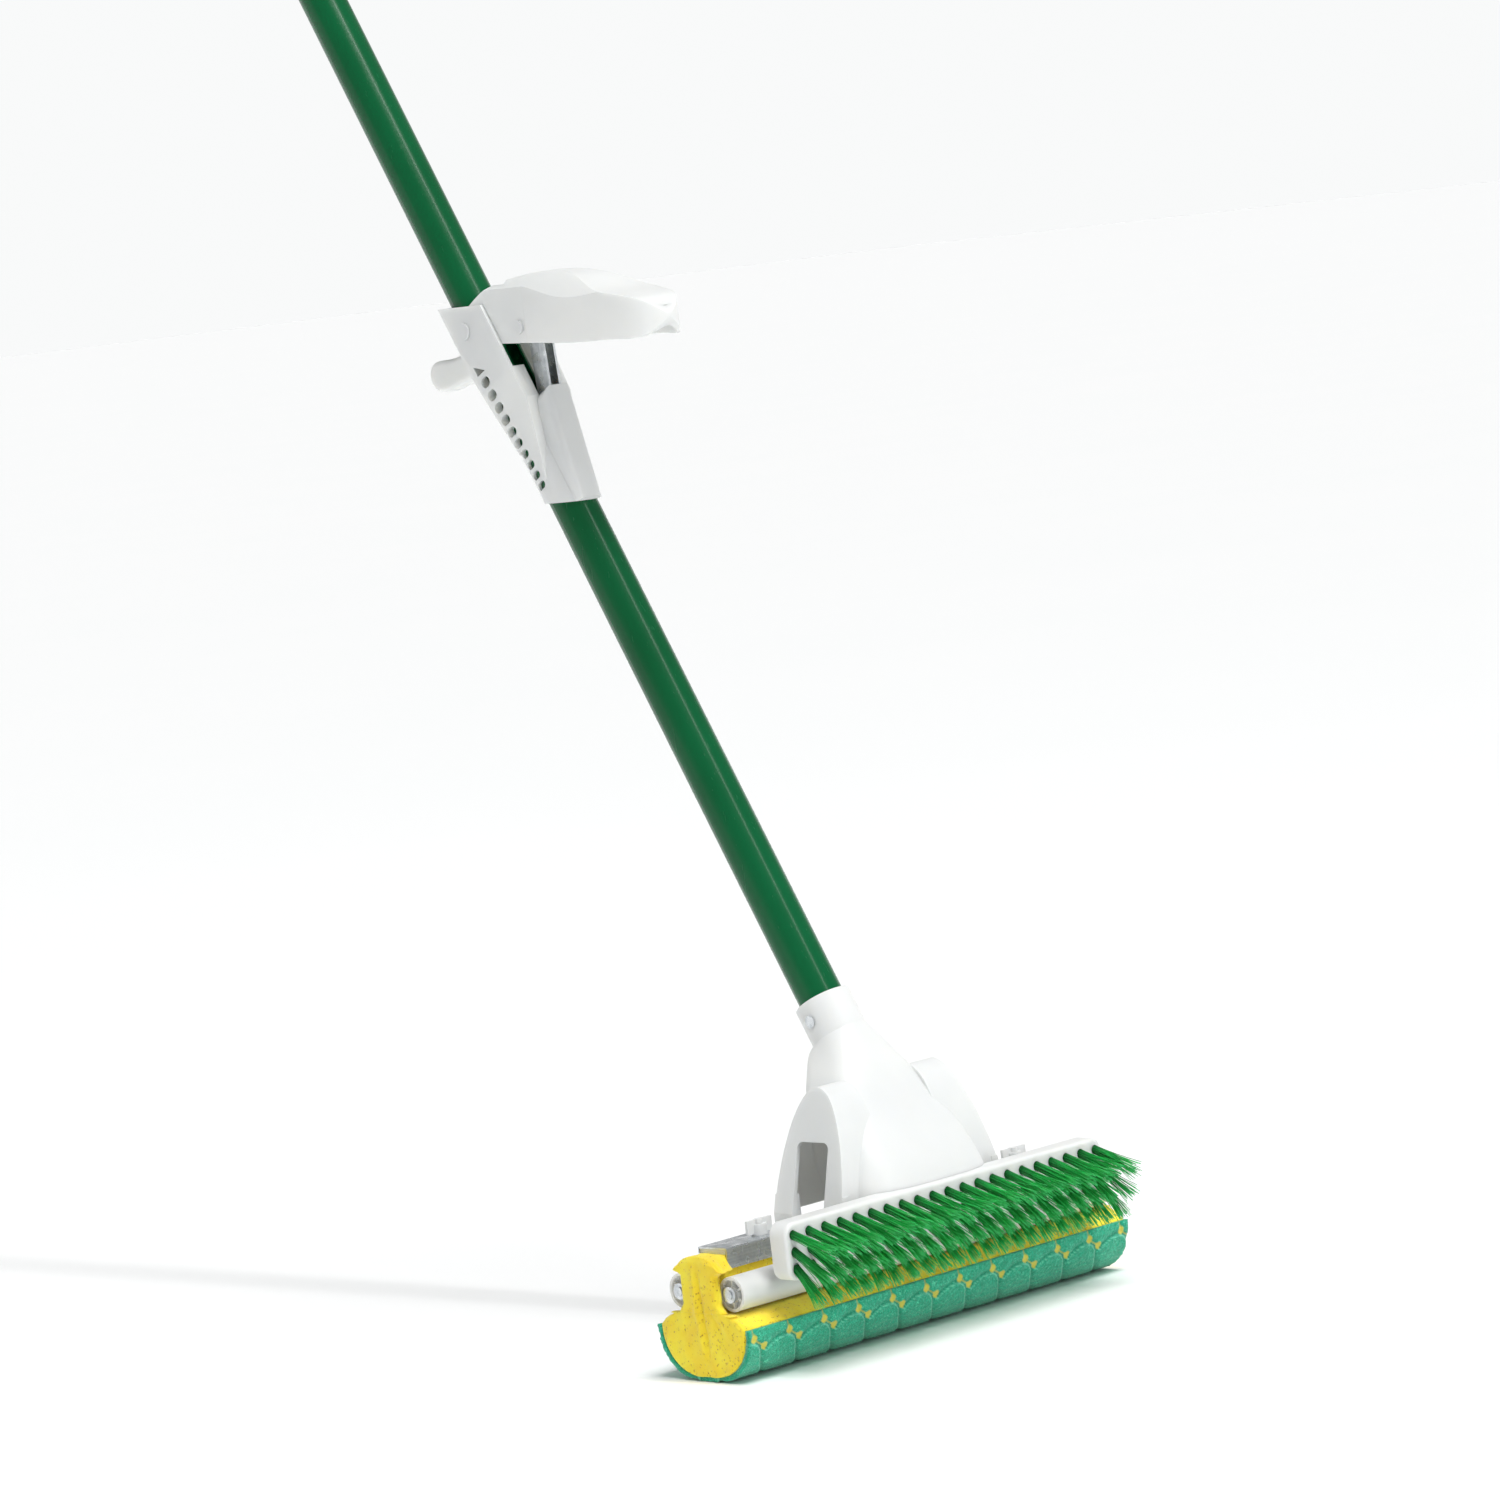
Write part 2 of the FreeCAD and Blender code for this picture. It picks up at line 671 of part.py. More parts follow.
def pocket(inset):
    """The wedge that bulges over the tube's front slot, moved in by inset."""
    mouth = pivot_s - mouth_below_pivot
    low = mouth - pocket_height + 3 * inset
    skin = tube_r + sleeve_wall - inset
    out = tube_r + pocket_rise - inset
    top = mouth + inset
    half = pocket_half_width - inset
    wedge = plate_x(polygon_yz(((0, low), (-skin, low), (-out, mouth), (-out, top), (0, top))), -half, half)
    if inset > 0:
        return wedge
    front = [e for e in wedge.Edges if e.BoundBox.XLength < 0.01 and e.CenterOfMass.y < -skin
             and e.Length > 20.0]
    return wedge.makeFillet(pocket_edge, front)


def rest_hook():
    """The drooping hook on the sleeve's back, its outline set out from the pivot."""
    outline = ((-2.0, -6.0), (10.0, -9.0), (22.0, -13.5), (35.0, -15.0), (45.5, -17.5), (48.0, -24.0),
               (43.5, -31.5), (35.5, -33.0), (26.5, -31.0), (16.5, -28.5), (2.0, -25.0), (-8.0, -17.0))
    wire = smooth_yz([(pivot_y + y, pivot_z + z) for y, z in outline])
    hook = plate_x(wire, -hook_half_width, hook_half_width)
    rims = [e for e in hook.Edges if e.BoundBox.XLength < 0.01]
    return hook.makeFillet(3.0, rims)


def flanks(top):
    """The flat ears beside the lever, running down the sleeve and tapering into its round wall."""
    mouth = pivot_s - mouth_below_pivot
    foot = mouth - flank_length
    back = ear_back + ear_thickness
    side = polygon_yz(((-ear_front, mouth), (-flank_foot, foot), (flank_foot, foot),
                       (back, pivot_s - ear_below_pivot), (back, top), (-ear_front, top)))
    narrow, full = tube_r + sleeve_wall - 0.1, pivot_s - fork_slot_below_pivot
    front = ((narrow, foot), (ear_out, full), (ear_out, top), (-ear_out, top), (-ear_out, full), (-narrow, foot))
    wire = Part.makePolygon([V(x, -60, s) for x, s in front + front[:1]])
    taper = Part.Face(wire).extrude(V(0, 120, 0))
    return plate_x(side, -ear_out, ear_out).common(taper)


def lever_housing():
    skin = tube_r + sleeve_wall
    low = sleeve_low_s() - 15.0
    tall = pivot_s + 45.0 - low
    tube = Part.makeCylinder(skin, tall, V(0, 0, low))
    mouth = pivot_s - mouth_below_pivot
    solid = tube.fuse([flanks(low + tall), pocket(0.0)])
    fork_slot = box(-ear_in, ear_in, -60, ear_back, pivot_s - fork_slot_below_pivot, low + tall)
    half = pocket_half_width - pocket_wall
    throat = box(-half, half, -60, -tube_r / 2, mouth, pivot_s)
    bore = Part.makeCylinder(tube_r, tall, V(0, 0, low))
    solid = on_handle(solid).fuse(rest_hook())
    pivot_hole = rod_x(pivot_r, -40, 40, 0, pivot_s)
    cutters = [fork_slot, throat, pocket(pocket_wall), bore, pivot_hole, sleeve_rivet()] + sleeve_slots()
    solid = solid.cut([on_handle(c) for c in cutters])
    length = box(-60, 60, 0, 500, sleeve_bottom_z, sleeve_top_z)
    return solid.common(length).removeSplitter()


# ---------------------------------------------------------------- wringing lever
lever_top = ((-140.0, 9.5), (-128.0, 12.5), (-114.0, 16.0), (-102.0, 21.0), (-90.0, 25.5), (-74.0, 28.5),
             (-57.0, 29.0), (-40.0, 27.5))


def lever_side():
    """The lever's side outline, set out from the pivot in the mop's frame."""
    eye = [(fork_eye_r * math.cos(math.radians(a)), fork_eye_r * math.sin(math.radians(a)))
           for a in (40, 0, -40, -80)]
    under = [(-18.0, -8.6), (-35.0, -9.0), (-60.0, -10.0), (-100.0, -12.0), (-132.0, -12.6)]
    tip = [(-paddle_reach + 5.5, -11.0), (-paddle_reach, -3.0), (-paddle_reach + 4.0, 5.0)]
    back = [(-22.0, 23.5), (-4.0, 14.0)]
    return [(pivot_y + y, pivot_z + z) for y, z in eye + under + tip + list(lever_top) + back]


def lever_plan(inset, z0, z1):
    """The lever seen from above: straight forks, then the wider rounded paddle."""
    fork, half, reach = fork_out - inset, paddle_half_width - inset, paddle_reach - inset
    side = [(fork, -50.0), (fork + 3.0, -66.0), (half, -86.0), (half, -114.0), (half * 0.86, -134.0),
            (half * 0.48, 4.0 - reach), (0.0, -reach)]
    curve = Part.BSplineCurve()
    left = [V(-x, pivot_y + y, z0) for x, y in side[:-1]]
    curve.interpolate([V(x, pivot_y + y, z0) for x, y in side] + left[::-1])
    a, b = curve.StartPoint, curve.EndPoint
    back = pivot_y + 30.0
    corner_a, corner_b = V(fork, back, z0), V(-fork, back, z0)
    wire = Part.Wire([curve.toShape(), Part.makeLine(b, corner_b), Part.makeLine(corner_b, corner_a),
                      Part.makeLine(corner_a, a)])
    return Part.Face(wire).extrude(V(0, 0, z1 - z0))


def crown(inset):
    """The arch that the lever's top follows from side to side, over its whole length."""
    peak, half = pivot_z + lever_crown - inset, paddle_half_width + 8.0
    low = pivot_z - 70.0
    shares = [i / 6 - 1 for i in range(13)]
    curve = Part.BSplineCurve()
    curve.interpolate([V(half * u, pivot_y - 200.0, peak - lever_crown_drop * (half * u / paddle_half_width) ** 2)
                       for u in shares])
    a, b = curve.EndPoint, curve.StartPoint
    corners = (V(a.x, a.y, low), V(b.x, b.y, low))
    wire = Part.Wire([curve.toShape(), Part.makeLine(a, corners[0]), Part.makeLine(corners[0], corners[1]),
                      Part.makeLine(corners[1], b)])
    return Part.Face(wire).extrude(V(0, 260.0, 0))


def lever_room():
    """The hollow under the lever's top: open below, and open above where the forks pass the tube."""
    low, high = pivot_z - 60, pivot_z + 60
    inner = lever_plan(lever_wall, low, high)
    start, end = pivot_y - roof_start, pivot_y - paddle_reach
    roof = Part.BSplineCurve()
    roof.interpolate([V(0, end, pivot_z + 2.0)] + [V(0, pivot_y + y, pivot_z + z - lever_roof)
                                                     for y, z in lever_top[1:]])
    a, b = roof.StartPoint, roof.EndPoint
    corners = (V(0, start, b.z), V(0, start, low), V(0, a.y, low))
    wire = Part.Wire([roof.toShape(), Part.makeLine(b, corners[0]), Part.makeLine(corners[0], corners[1]),
                      Part.makeLine(corners[1], corners[2]), Part.makeLine(corners[2], a)])
    under = plate_x(wire, -60, 60).common(inner).common(crown(lever_roof))
    return [under, box(-60, 60, start, pivot_y + 60, low, high).common(inner)]


def wring_lever():
    side = plate_x(smooth_yz(lever_side()), -60, 60)
    solid = side.common(lever_plan(0.0, pivot_z - 60, pivot_z + 60)).common(crown(0.0))
    pivot = rod_x(pivot_r + running_fit, -40, 40, 0, pivot_s)
    pin = rod_x(link_pin_r, -40, 40, -link_pin_n, link_pin_s)
    return solid.cut(lever_room() + [on_handle(pivot), on_handle(pin)]).removeSplitter()


def lever_link_pin():
    return pin_x(link_pin_r, fork_out, link_pin_r + 1.6, -link_pin_n, link_pin_s)


# ---------------------------------------------------------------- pull rod, in the handle's frame
def link_straps():
    """The twin straps from the lever pin to the rod head, slotted where the lever pin swings out."""
    top_in = (-link_pin_n, link_pin_s)
    top_out = (-link_pin_n - link_pin_play, link_pin_s)
    arm = slot_yz(strap_half_width, (0, rod_head_s), top_in)
    eye = slot_yz(link_pin_r + 3.0, top_in, top_out)
    hole = slot_yz(link_pin_r + link_slot_play, (top_in[0] + 0.2, link_pin_s), (top_out[0] - 0.2, link_pin_s))
    straps = []
    for x0 in (strap_x - strap_thickness / 2, -strap_x - strap_thickness / 2):
        x1 = x0 + strap_thickness
        strap = plate_x(arm, x0, x1).fuse(plate_x(eye, x0, x1))
        straps.append(strap.cut([plate_x(hole, x0 - 1, x1 + 1), rod_x(rod_pin_r, -20, 20, 0, rod_head_s)]))
    return straps


def rod_head():
    """The sliding head in the tube, with a tongue between the straps."""
    top = rod_head_s - rod_head_drop
    slider = Part.makeCylinder(tube_r - tube_wall - rod_head_play, rod_head_length, V(0, 0, top - rod_head_length))
    half = strap_x - strap_thickness / 2
    tongue = plate_x(slot_yz(strap_half_width, (0, top - 1), (0, rod_head_s)), -half, half)
    head = slider.fuse(tongue)
    seat = Part.makeCylinder(rod_r, rod_head_length / 2, V(0, 0, top - rod_head_length))
    return head.cut([seat, rod_x(rod_pin_r, -20, 20, 0, rod_head_s)]).removeSplitter()


def rod_head_pin():
    return pin_x(rod_pin_r, strap_x + strap_thickness / 2, rod_pin_r + 1.0, 0, rod_head_s)


def pull_rod():
    low = rod_end_s + collar_rise
    high = rod_head_s - rod_head_drop - rod_head_length / 2
    return Part.makeCylinder(rod_r, high - low, V(0, 0, low))


def rod_tongue():
    blade = plate_x(slot_yz(link_eye_r, (0, rod_end_s), (0, rod_end_s + collar_rise)), -tongue_half, tongue_half)
    above = box(-20, 20, -20, 20, rod_end_s + collar_rise, rod_end_s + 40)
    collar = Part.makeCylinder(collar_r, collar_length, V(0, 0, rod_end_s + collar_rise - 1.0))
    bore = Part.makeCylinder(rod_r, collar_length, V(0, 0, rod_end_s + collar_rise))
    return blade.cut(above).fuse(collar).cut([bore, rod_x(rod_pin_r, -20, 20, 0, rod_end_s)]).removeSplitter()


def rod_end_pin():
    return pin_x(rod_pin_r, plate_out + sheet_gap, rod_pin_r + 1.2, 0, rod_end_s)


def swing_link():
    """Two plates from the rod tongue to the lift bracket, slotted at the bracket pin."""
    top = (rod_end_y, rod_end_z)
    low = (swing_pin_y, swing_pin_z)
    uy, uz = (top[0] - low[0]) / swing_length, (top[1] - low[1]) / swing_length
    play = swing_play + slot_clearance
    slot_top = (low[0] + uy * play, low[1] + uz * play)
    slot_low = (low[0] - uy * 0.1, low[1] - uz * 0.1)
    hole = slot_yz(rod_pin_r + slot_clearance, slot_low, slot_top)
    eye = rod_x(rod_pin_r + running_fit, -20, 20, top[0], top[1])
    plates = []
    for x0 in (plate_in, -plate_out):
        plate = plate_x(slot_yz(link_eye_r, low, top), x0, x0 + swing_sheet)
        plates.append(plate.cut([plate_x(hole, x0 - 1, x0 + swing_sheet + 1), eye]))
    return plates


# ---------------------------------------------------------------- write every piece
save("sponge_body", sponge_body())
save("scrub_pad", scrub_pad())
save("sponge_neck", sponge_neck())
save("sponge_backing", sponge_backing())
save("sponge_channel", sponge_channel())
save("wing_nuts", wing_nuts())
save("lift_bracket", lift_bracket())
save("lift_pin", lift_pin())
for side_name, side_y in (("front", -roller_y), ("rear", roller_y)):
    save(side_name + "_axle", axle(side_y))
    for part_name, span in roller_spans().items():
        save("%s_roller_%s" % (side_name, part_name), roller(side_y, span[0], span[1]))
save("push_nuts", push_nuts())
save("head_housing", head_housing())
save("brush_block", brush_block())
for row_name, row in zip(("top", "middle", "bottom"), tuft_roots()):
    save("brush_tufts_" + row_name, tuft_row(row))
save("brush_screws", Part.makeCompound([brush_screw(x) for x in (-tab_x, tab_x)]))
save("socket_screws", on_handle(Part.makeCompound(socket_screw_shapes())))
save("handle_tube", on_handle(handle_tube()))
save("rod_guide_bush", on_handle(guide_bush()))
save("handle_end_cap", on_handle(handle_end_cap()))
save("lever_housing", lever_housing())
save("sleeve_rivet", on_handle(sleeve_rivet()))
save("lever_pivot_pin", on_handle(pivot_pin()))
save("wring_lever", wring_lever())
save("lever_link_pin", on_handle(lever_link_pin()))
for strap_name, strap in zip(("link_strap_right", "link_strap_left"), link_straps()):
    save(strap_name, on_handle(strap))
save("rod_head", on_handle(rod_head()))
save("rod_head_pin", on_handle(rod_head_pin()))
save("pull_rod", on_handle(pull_rod()))
save("rod_tongue", on_handle(rod_tongue()))
save("rod_end_pin", on_handle(rod_end_pin()))
for plate_name, plate in zip(("swing_link_right", "swing_link_left"), swing_link()):
    save(plate_name, plate)
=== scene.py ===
import bmesh
import bpy
import math
import numpy as np
from mathutils import Matrix, Vector


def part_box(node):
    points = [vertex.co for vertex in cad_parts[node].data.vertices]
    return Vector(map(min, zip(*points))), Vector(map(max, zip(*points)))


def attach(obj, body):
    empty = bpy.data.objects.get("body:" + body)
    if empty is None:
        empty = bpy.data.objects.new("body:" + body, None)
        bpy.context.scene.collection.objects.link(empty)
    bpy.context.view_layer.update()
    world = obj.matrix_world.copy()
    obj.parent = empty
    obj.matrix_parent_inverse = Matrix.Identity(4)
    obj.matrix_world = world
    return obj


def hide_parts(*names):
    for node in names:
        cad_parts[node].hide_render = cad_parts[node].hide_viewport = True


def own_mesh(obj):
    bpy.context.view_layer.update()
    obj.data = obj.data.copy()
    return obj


# Twin-roller sponge mop with scrub brush. Metres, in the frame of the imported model:
# +Z is up, +X runs along the sponge, the brush faces -Y and the handle leans to +Y.
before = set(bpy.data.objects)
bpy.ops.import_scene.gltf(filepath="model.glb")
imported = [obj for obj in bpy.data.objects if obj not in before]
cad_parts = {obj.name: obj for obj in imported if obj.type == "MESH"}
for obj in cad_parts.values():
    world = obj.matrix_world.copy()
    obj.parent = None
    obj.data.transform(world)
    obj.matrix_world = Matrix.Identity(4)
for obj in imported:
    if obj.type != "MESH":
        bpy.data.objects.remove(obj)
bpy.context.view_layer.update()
mm = 0.001


# ---------------------------------------------------------------- view, light and floor
# The mop stands on a pale matt studio floor, under one wide sun and one tall, narrow
# soft box. The camera is level with the lever and rolled a little, so that the handle stands steeper.
view_place = (-2.1593, -2.2420, 0.5987)
view_turn, view_rise, view_roll = math.radians(-43.06), math.radians(5.13), math.radians(-6.67)
view_lens = 139.66
floor_reach = 60.0
handle_middle, handle_way = (0.0, 0.25, 0.55), (0.0, 0.482, 0.876)


def paint(code):
    """An sRGB hex colour as linear red, green, blue and 1."""
    channels = np.array([int(code[i:i + 2], 16) for i in (1, 3, 5)]) / 255
    linear = np.where(channels <= 0.04045, channels / 12.92, ((channels + 0.055) / 1.055) ** 2.4)
    return (*linear, 1.0)


def put(tree, kind, sockets, **settings):
    """Adds one node. settings are its own properties. sockets are its inputs, each a value or another
    node's output."""
    made = tree.nodes.new("ShaderNode" + kind)
    for name, value in settings.items():
        setattr(made, name, value)
    for name, value in sockets.items():
        if isinstance(value, bpy.types.NodeSocket):
            tree.links.new(value, made.inputs[name])
        else:
            made.inputs[name].default_value = value
    return made.outputs


def finish_of(name, **shader_values):
    """A new material with its shader set, and the object's own coordinates in metres."""
    material = bpy.data.materials.new(name)
    material.use_nodes = True
    tree = material.node_tree
    shader = tree.nodes["Principled BSDF"]
    for socket, value in shader_values.items():
        shader.inputs[socket.replace("_", " ")].default_value = value
    return material, tree, shader, put(tree, "TexCoord", {})["Object"]


def place_camera():
    """The camera's own axes, rolled about its line of sight."""
    back = Vector((math.sin(view_turn) * math.cos(view_rise), -math.cos(view_turn) * math.cos(view_rise),
                   math.sin(view_rise)))
    level = (-back).cross(Vector((0, 0, 1))).normalized()
    up = level.cross(-back)
    right = level * math.cos(view_roll) + up * math.sin(view_roll)
    above = up * math.cos(view_roll) - level * math.sin(view_roll)
    data = bpy.data.cameras.new("view")
    data.lens = view_lens
    data.clip_end = 200.0
    camera = bpy.data.objects.new("view", data)
    camera.matrix_world = Matrix((right, above, back)).transposed().to_4x4()
    camera.location = view_place
    bpy.context.scene.collection.objects.link(camera)
    bpy.context.scene.camera = camera


def place_lamp(name, kind, energy, towards, distance, **settings):
    """A lamp at that distance from the middle of the handle, aimed back at it. Its long side lies along
    the handle, so its reflection runs down the tube as one streak."""
    data = bpy.data.lights.new(name, kind)
    data.energy = energy
    for setting, value in settings.items():
        setattr(data, setting, value)
    behind = Vector(towards).normalized()
    across = Vector(handle_way).cross(behind).normalized()
    lamp = bpy.data.objects.new(name, data)
    lamp.matrix_world = Matrix((across, behind.cross(across), behind)).transposed().to_4x4()
    lamp.location = Vector(handle_middle) + distance * behind
    bpy.context.scene.collection.objects.link(lamp)


def light_the_sky():
    """A sky that is palest at the horizon, where it meets the floor."""
    world = bpy.data.worlds.new("studio")
    world.use_nodes = True
    tree = world.node_tree
    height = put(tree, "SeparateXYZ", {0: put(tree, "TexCoord", {})["Generated"]})["Z"]
    pale = put(tree, "MapRange", {0: height, 1: 0.14, 2: 0.3, 3: 0.98, 4: 0.33})[0]
    background = tree.nodes["Background"]
    tree.links.new(pale, background.inputs["Strength"])
    background.inputs["Color"].default_value = paint("#FBFCFC")
    bpy.context.scene.world = world


def lay_floor():
    corners = [(-floor_reach, -floor_reach, 0), (floor_reach, -floor_reach, 0),
               (floor_reach, floor_reach, 0), (-floor_reach, floor_reach, 0)]
    mesh = bpy.data.meshes.new("floor")
    mesh.from_pydata(corners, [], [(0, 1, 2, 3)])
    floor = bpy.data.objects.new("floor", mesh)
    material, tree, shader, place = finish_of("matt_studio_floor", Roughness=0.9, Specular_IOR_Level=0.1)
    mottle = put(tree, "TexNoise", {"Vector": place, "Scale": 1.5, "Detail": 3.0})["Fac"]
    colour = put(tree, "Mix", {0: mottle, 6: paint("#FFFFFF"), 7: paint("#FDFEFE")}, data_type="RGBA")[2]
    tree.links.new(colour, shader.inputs["Base Color"])
    mesh.materials.append(material)
    bpy.context.scene.collection.objects.link(floor)


place_camera()
light_the_sky()
lay_floor()
place_lamp("key_sun", "SUN", 2.15, (-0.1, -1.2, 3.0), 3.0, angle=math.radians(28))
place_lamp("streak_box", "AREA", 16.0, (0.04, -0.66, 0.75), 2.4, shape="RECTANGLE", size=0.07, size_y=3.2)
bpy.context.scene.view_settings.view_transform = "Standard"


# ---------------------------------------------------------------- sponge
# Yellow cellulose foam, cut from one block: a round body under the rollers and a neck between them.
# The neck is clamped in the channel and stands free, squeezed and creased, at both ends.
foam_yellow, foam_deep, foam_pore_shade = "#FFF03E", "#F4D42C", "#C49418"
pore_size = 1.5 * mm
foam_in = 2.7 * mm
neck_swell = 4.6 * mm
neck_flare = 8.3 * mm
crease_depth = 1.5 * mm
end_dome, end_round = 0.9 * mm, 1.2 * mm

body_low, body_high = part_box("sponge_body")
pad_low, pad_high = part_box("scrub_pad")
neck_low, neck_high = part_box("sponge_neck")
channel_low, channel_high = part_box("sponge_channel")
roller_low, roller_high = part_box("front_roller_left")
foam_end = body_high.x
foot_half = 8.0 * mm
round_r = pad_high.y - foot_half
shoulder_z = pad_high.z
neck_half = neck_high.y
roller_y = (roller_low.y + roller_high.y) / 2
roller_z = (roller_low.z + roller_high.z) / 2
roller_r = (roller_high.z - roller_low.z) / 2
roller_end = -roller_low.x


def step(value, low, high):
    """0 below low, 1 above high, and a smooth S between."""
    share = np.clip((value - low) / (high - low), 0, 1)
    return share * share * (3 - 2 * share)


def hump(value, centre, width):
    """A bell curve of height 1."""
    return np.exp(-((value - centre) / width) ** 2)


def block_skin(name, shape, along, up, across):
    """The closed skin of a soft block: the six faces of a box of parameters, each a grid whose points
    shape(along, up, across) carries to their places, welded at the edges."""
    points, quads, count = [], [], 0
    for fixed in range(3):
        first, second = [values for k, values in enumerate((along, up, across)) if k != fixed]
        for end in (0, -1):
            grid = list(np.meshgrid(first, second, indexing="ij"))
            grid.insert(fixed, np.full(grid[0].shape, (along, up, across)[fixed][end]))
            points.append(np.stack(shape(*grid), -1).reshape(-1, 3))
            index = count + np.arange(grid[0].size).reshape(grid[0].shape)
            quads.append(np.stack([index[:-1, :-1], index[1:, :-1], index[1:, 1:], index[:-1, 1:]], -1))
            count += grid[0].size
    mesh = bpy.data.meshes.new(name)
    mesh.from_pydata(np.concatenate(points), [], np.concatenate([q.reshape(-1, 4) for q in quads]))
    work = bmesh.new()
    work.from_mesh(mesh)
    bmesh.ops.remove_doubles(work, verts=work.verts, dist=1e-6)
    bmesh.ops.recalc_face_normals(work, faces=work.faces)
    work.to_mesh(mesh)
    work.free()
    piece = bpy.data.objects.new(name, mesh)
    bpy.context.scene.collection.objects.link(piece)
    mesh.shade_smooth()
    return piece


def ruffle(x, y, z, size):
    """A smooth uneven value from -1 to 1: three sine waves of about that size, crossed."""
    turn = 2 * math.pi / size
    return (np.sin(turn * (x + 0.7 * y)) + np.sin(turn * 1.31 * (y - 0.6 * z) + 1.7)
            + np.sin(turn * 0.83 * (z + 0.5 * x) + 0.6)) / 3


def crease(y, z):
    """How far the cut end face is drawn in: a fold down the middle with a ridge beside it, and fainter
    folds that fan out from the neck."""
    line = 0.5 * mm + 2.5 * mm * step(z, 50 * mm, 14 * mm)
    reach = step(z, 8 * mm, 22 * mm) * (1 - step(z, 50 * mm, 62 * mm))
    main = hump(y, line, 1.3 * mm) - 0.7 * hump(y, line - 3.2 * mm, 2.2 * mm)
    fan = np.arctan2(y, 48 * mm - z)
    far = np.hypot(y, 48 * mm - z)
    side = (0.35 * hump(fan, 0.62, 0.07) + 0.3 * hump(fan, -0.55, 0.08) + 0.2 * hump(fan, 0.95, 0.06)
            + 0.22 * hump(fan, -0.95, 0.07)) * hump(far, 22 * mm, 12 * mm)
    return crease_depth * (main * reach + side) + 0.35 * mm * ruffle(y, z, y, 14 * mm)


def cut_end(x, y, z, inside):
    """The end faces: slightly domed, creased, and softly rounded at the rim."""
    end = hump(np.abs(x), foam_end, 0.3 * mm)
    return x + np.sign(x) * end * inside * (end_dome - crease(y * np.sign(x), z))


def foam_sides(across, up):
    """1 in the middle of an end face and 0 at its rim."""
    return step(np.minimum(1 - np.abs(across), np.maximum(up, 3 * np.abs(across) - 1) * 3), 0.0, 0.12)


def body_outline():
    """The right half of the body's section, from the foot round to the shoulder and up to the neck:
    heights and half widths."""
    r = round_r - foam_in
    turn = np.radians(np.linspace(0, 90, 24))
    wide = foot_half + r * np.sin(turn)
    high = round_r - r * np.cos(turn)
    top_y = np.array([29.8, 27.0, 23.5, 19.0, 14.5, 11.5, 10.0]) * mm
    top_z = np.array([31.6, 33.6, 35.3, 36.2, 36.3, 36.4, 36.5]) * mm
    wide = np.concatenate([wide, [wide[-1]], top_y])
    high = np.concatenate([high, [shoulder_z + 0.4 * mm], top_z])
    return high, wide


def shape_body(x, up, across):
    """Half width w and height z follow the outline as up goes 0 to 1; the point is (x, across * w, z).
    Past the roller ends the top swells into the free neck, and the rim of each end face is rounded."""
    high, wide = body_outline()
    length = np.concatenate([[0], np.cumsum(np.hypot(np.diff(high), np.diff(wide)))])
    z = np.interp(up * length[-1], length, high)
    w = np.interp(up * length[-1], length, wide)
    free = step(np.abs(x), roller_end + 0.3 * mm, roller_end + 2.5 * mm)
    w = w + free * 8.0 * mm * step(z, 35.5 * mm, body_high.z)
    w = w + 0.35 * mm * ruffle(x, z, z, 9 * mm) * step(z, 30 * mm, 32 * mm)
    z = z + 0.3 * mm * ruffle(x, across * w, z, 7 * mm) * step(z, 30 * mm, 33 * mm) * (1 - step(up, 0.9, 1.0))
    rim = end_round * hump(np.abs(x), foam_end, 0.8 * mm)
    w = w - rim
    y = across * w
    return cut_end(x, y, z, foam_sides(across, up)), y, z


def shape_neck(x, up, across):
    """Between the rollers the neck is as wide as its gap. At the free ends it swells past the rollers
    and flares over them, with a rounded top."""
    z = neck_low.z + up * (neck_high.z + 1.3 * mm * step(np.abs(x), channel_high.x, channel_high.x + 4 * mm)
                           - neck_low.z)
    free = step(np.abs(x), roller_end + 0.3 * mm, roller_end + 2.5 * mm)
    above = step(np.abs(x), channel_high.x + 0.5 * mm, channel_high.x + 2.5 * mm)
    w = neck_half + 0.0 * x
    w = w + free * neck_swell * (1 - step(z, 56 * mm, 60 * mm) * 0.2)
    w = w + free * 3.4 * mm * (1 - step(z, neck_low.z, 42 * mm))
    over_rollers = hump(z, 62.5 * mm, 6.0 * mm) * step(z, 56.4 * mm, 60.5 * mm)
    w = w + above * (neck_flare - free * 2.0 * mm) * over_rollers
    w = w + above * 0.3 * mm * ruffle(x, z, z, 8 * mm)
    rim = end_round * hump(np.abs(x), foam_end, 0.8 * mm)
    y = across * (w - rim)
    dome = 4.2 * mm * step(up, 0.72, 1.0) + 2.2 * mm * across ** 4 * step(up, 0.5, 1.0)
    z = z - above * across ** 2 * dome
    inside = step(1 - np.abs(across), 0.0, 0.12) * step(1 - up, 0.0, 0.12)
    return cut_end(x, y, z, inside), y, z


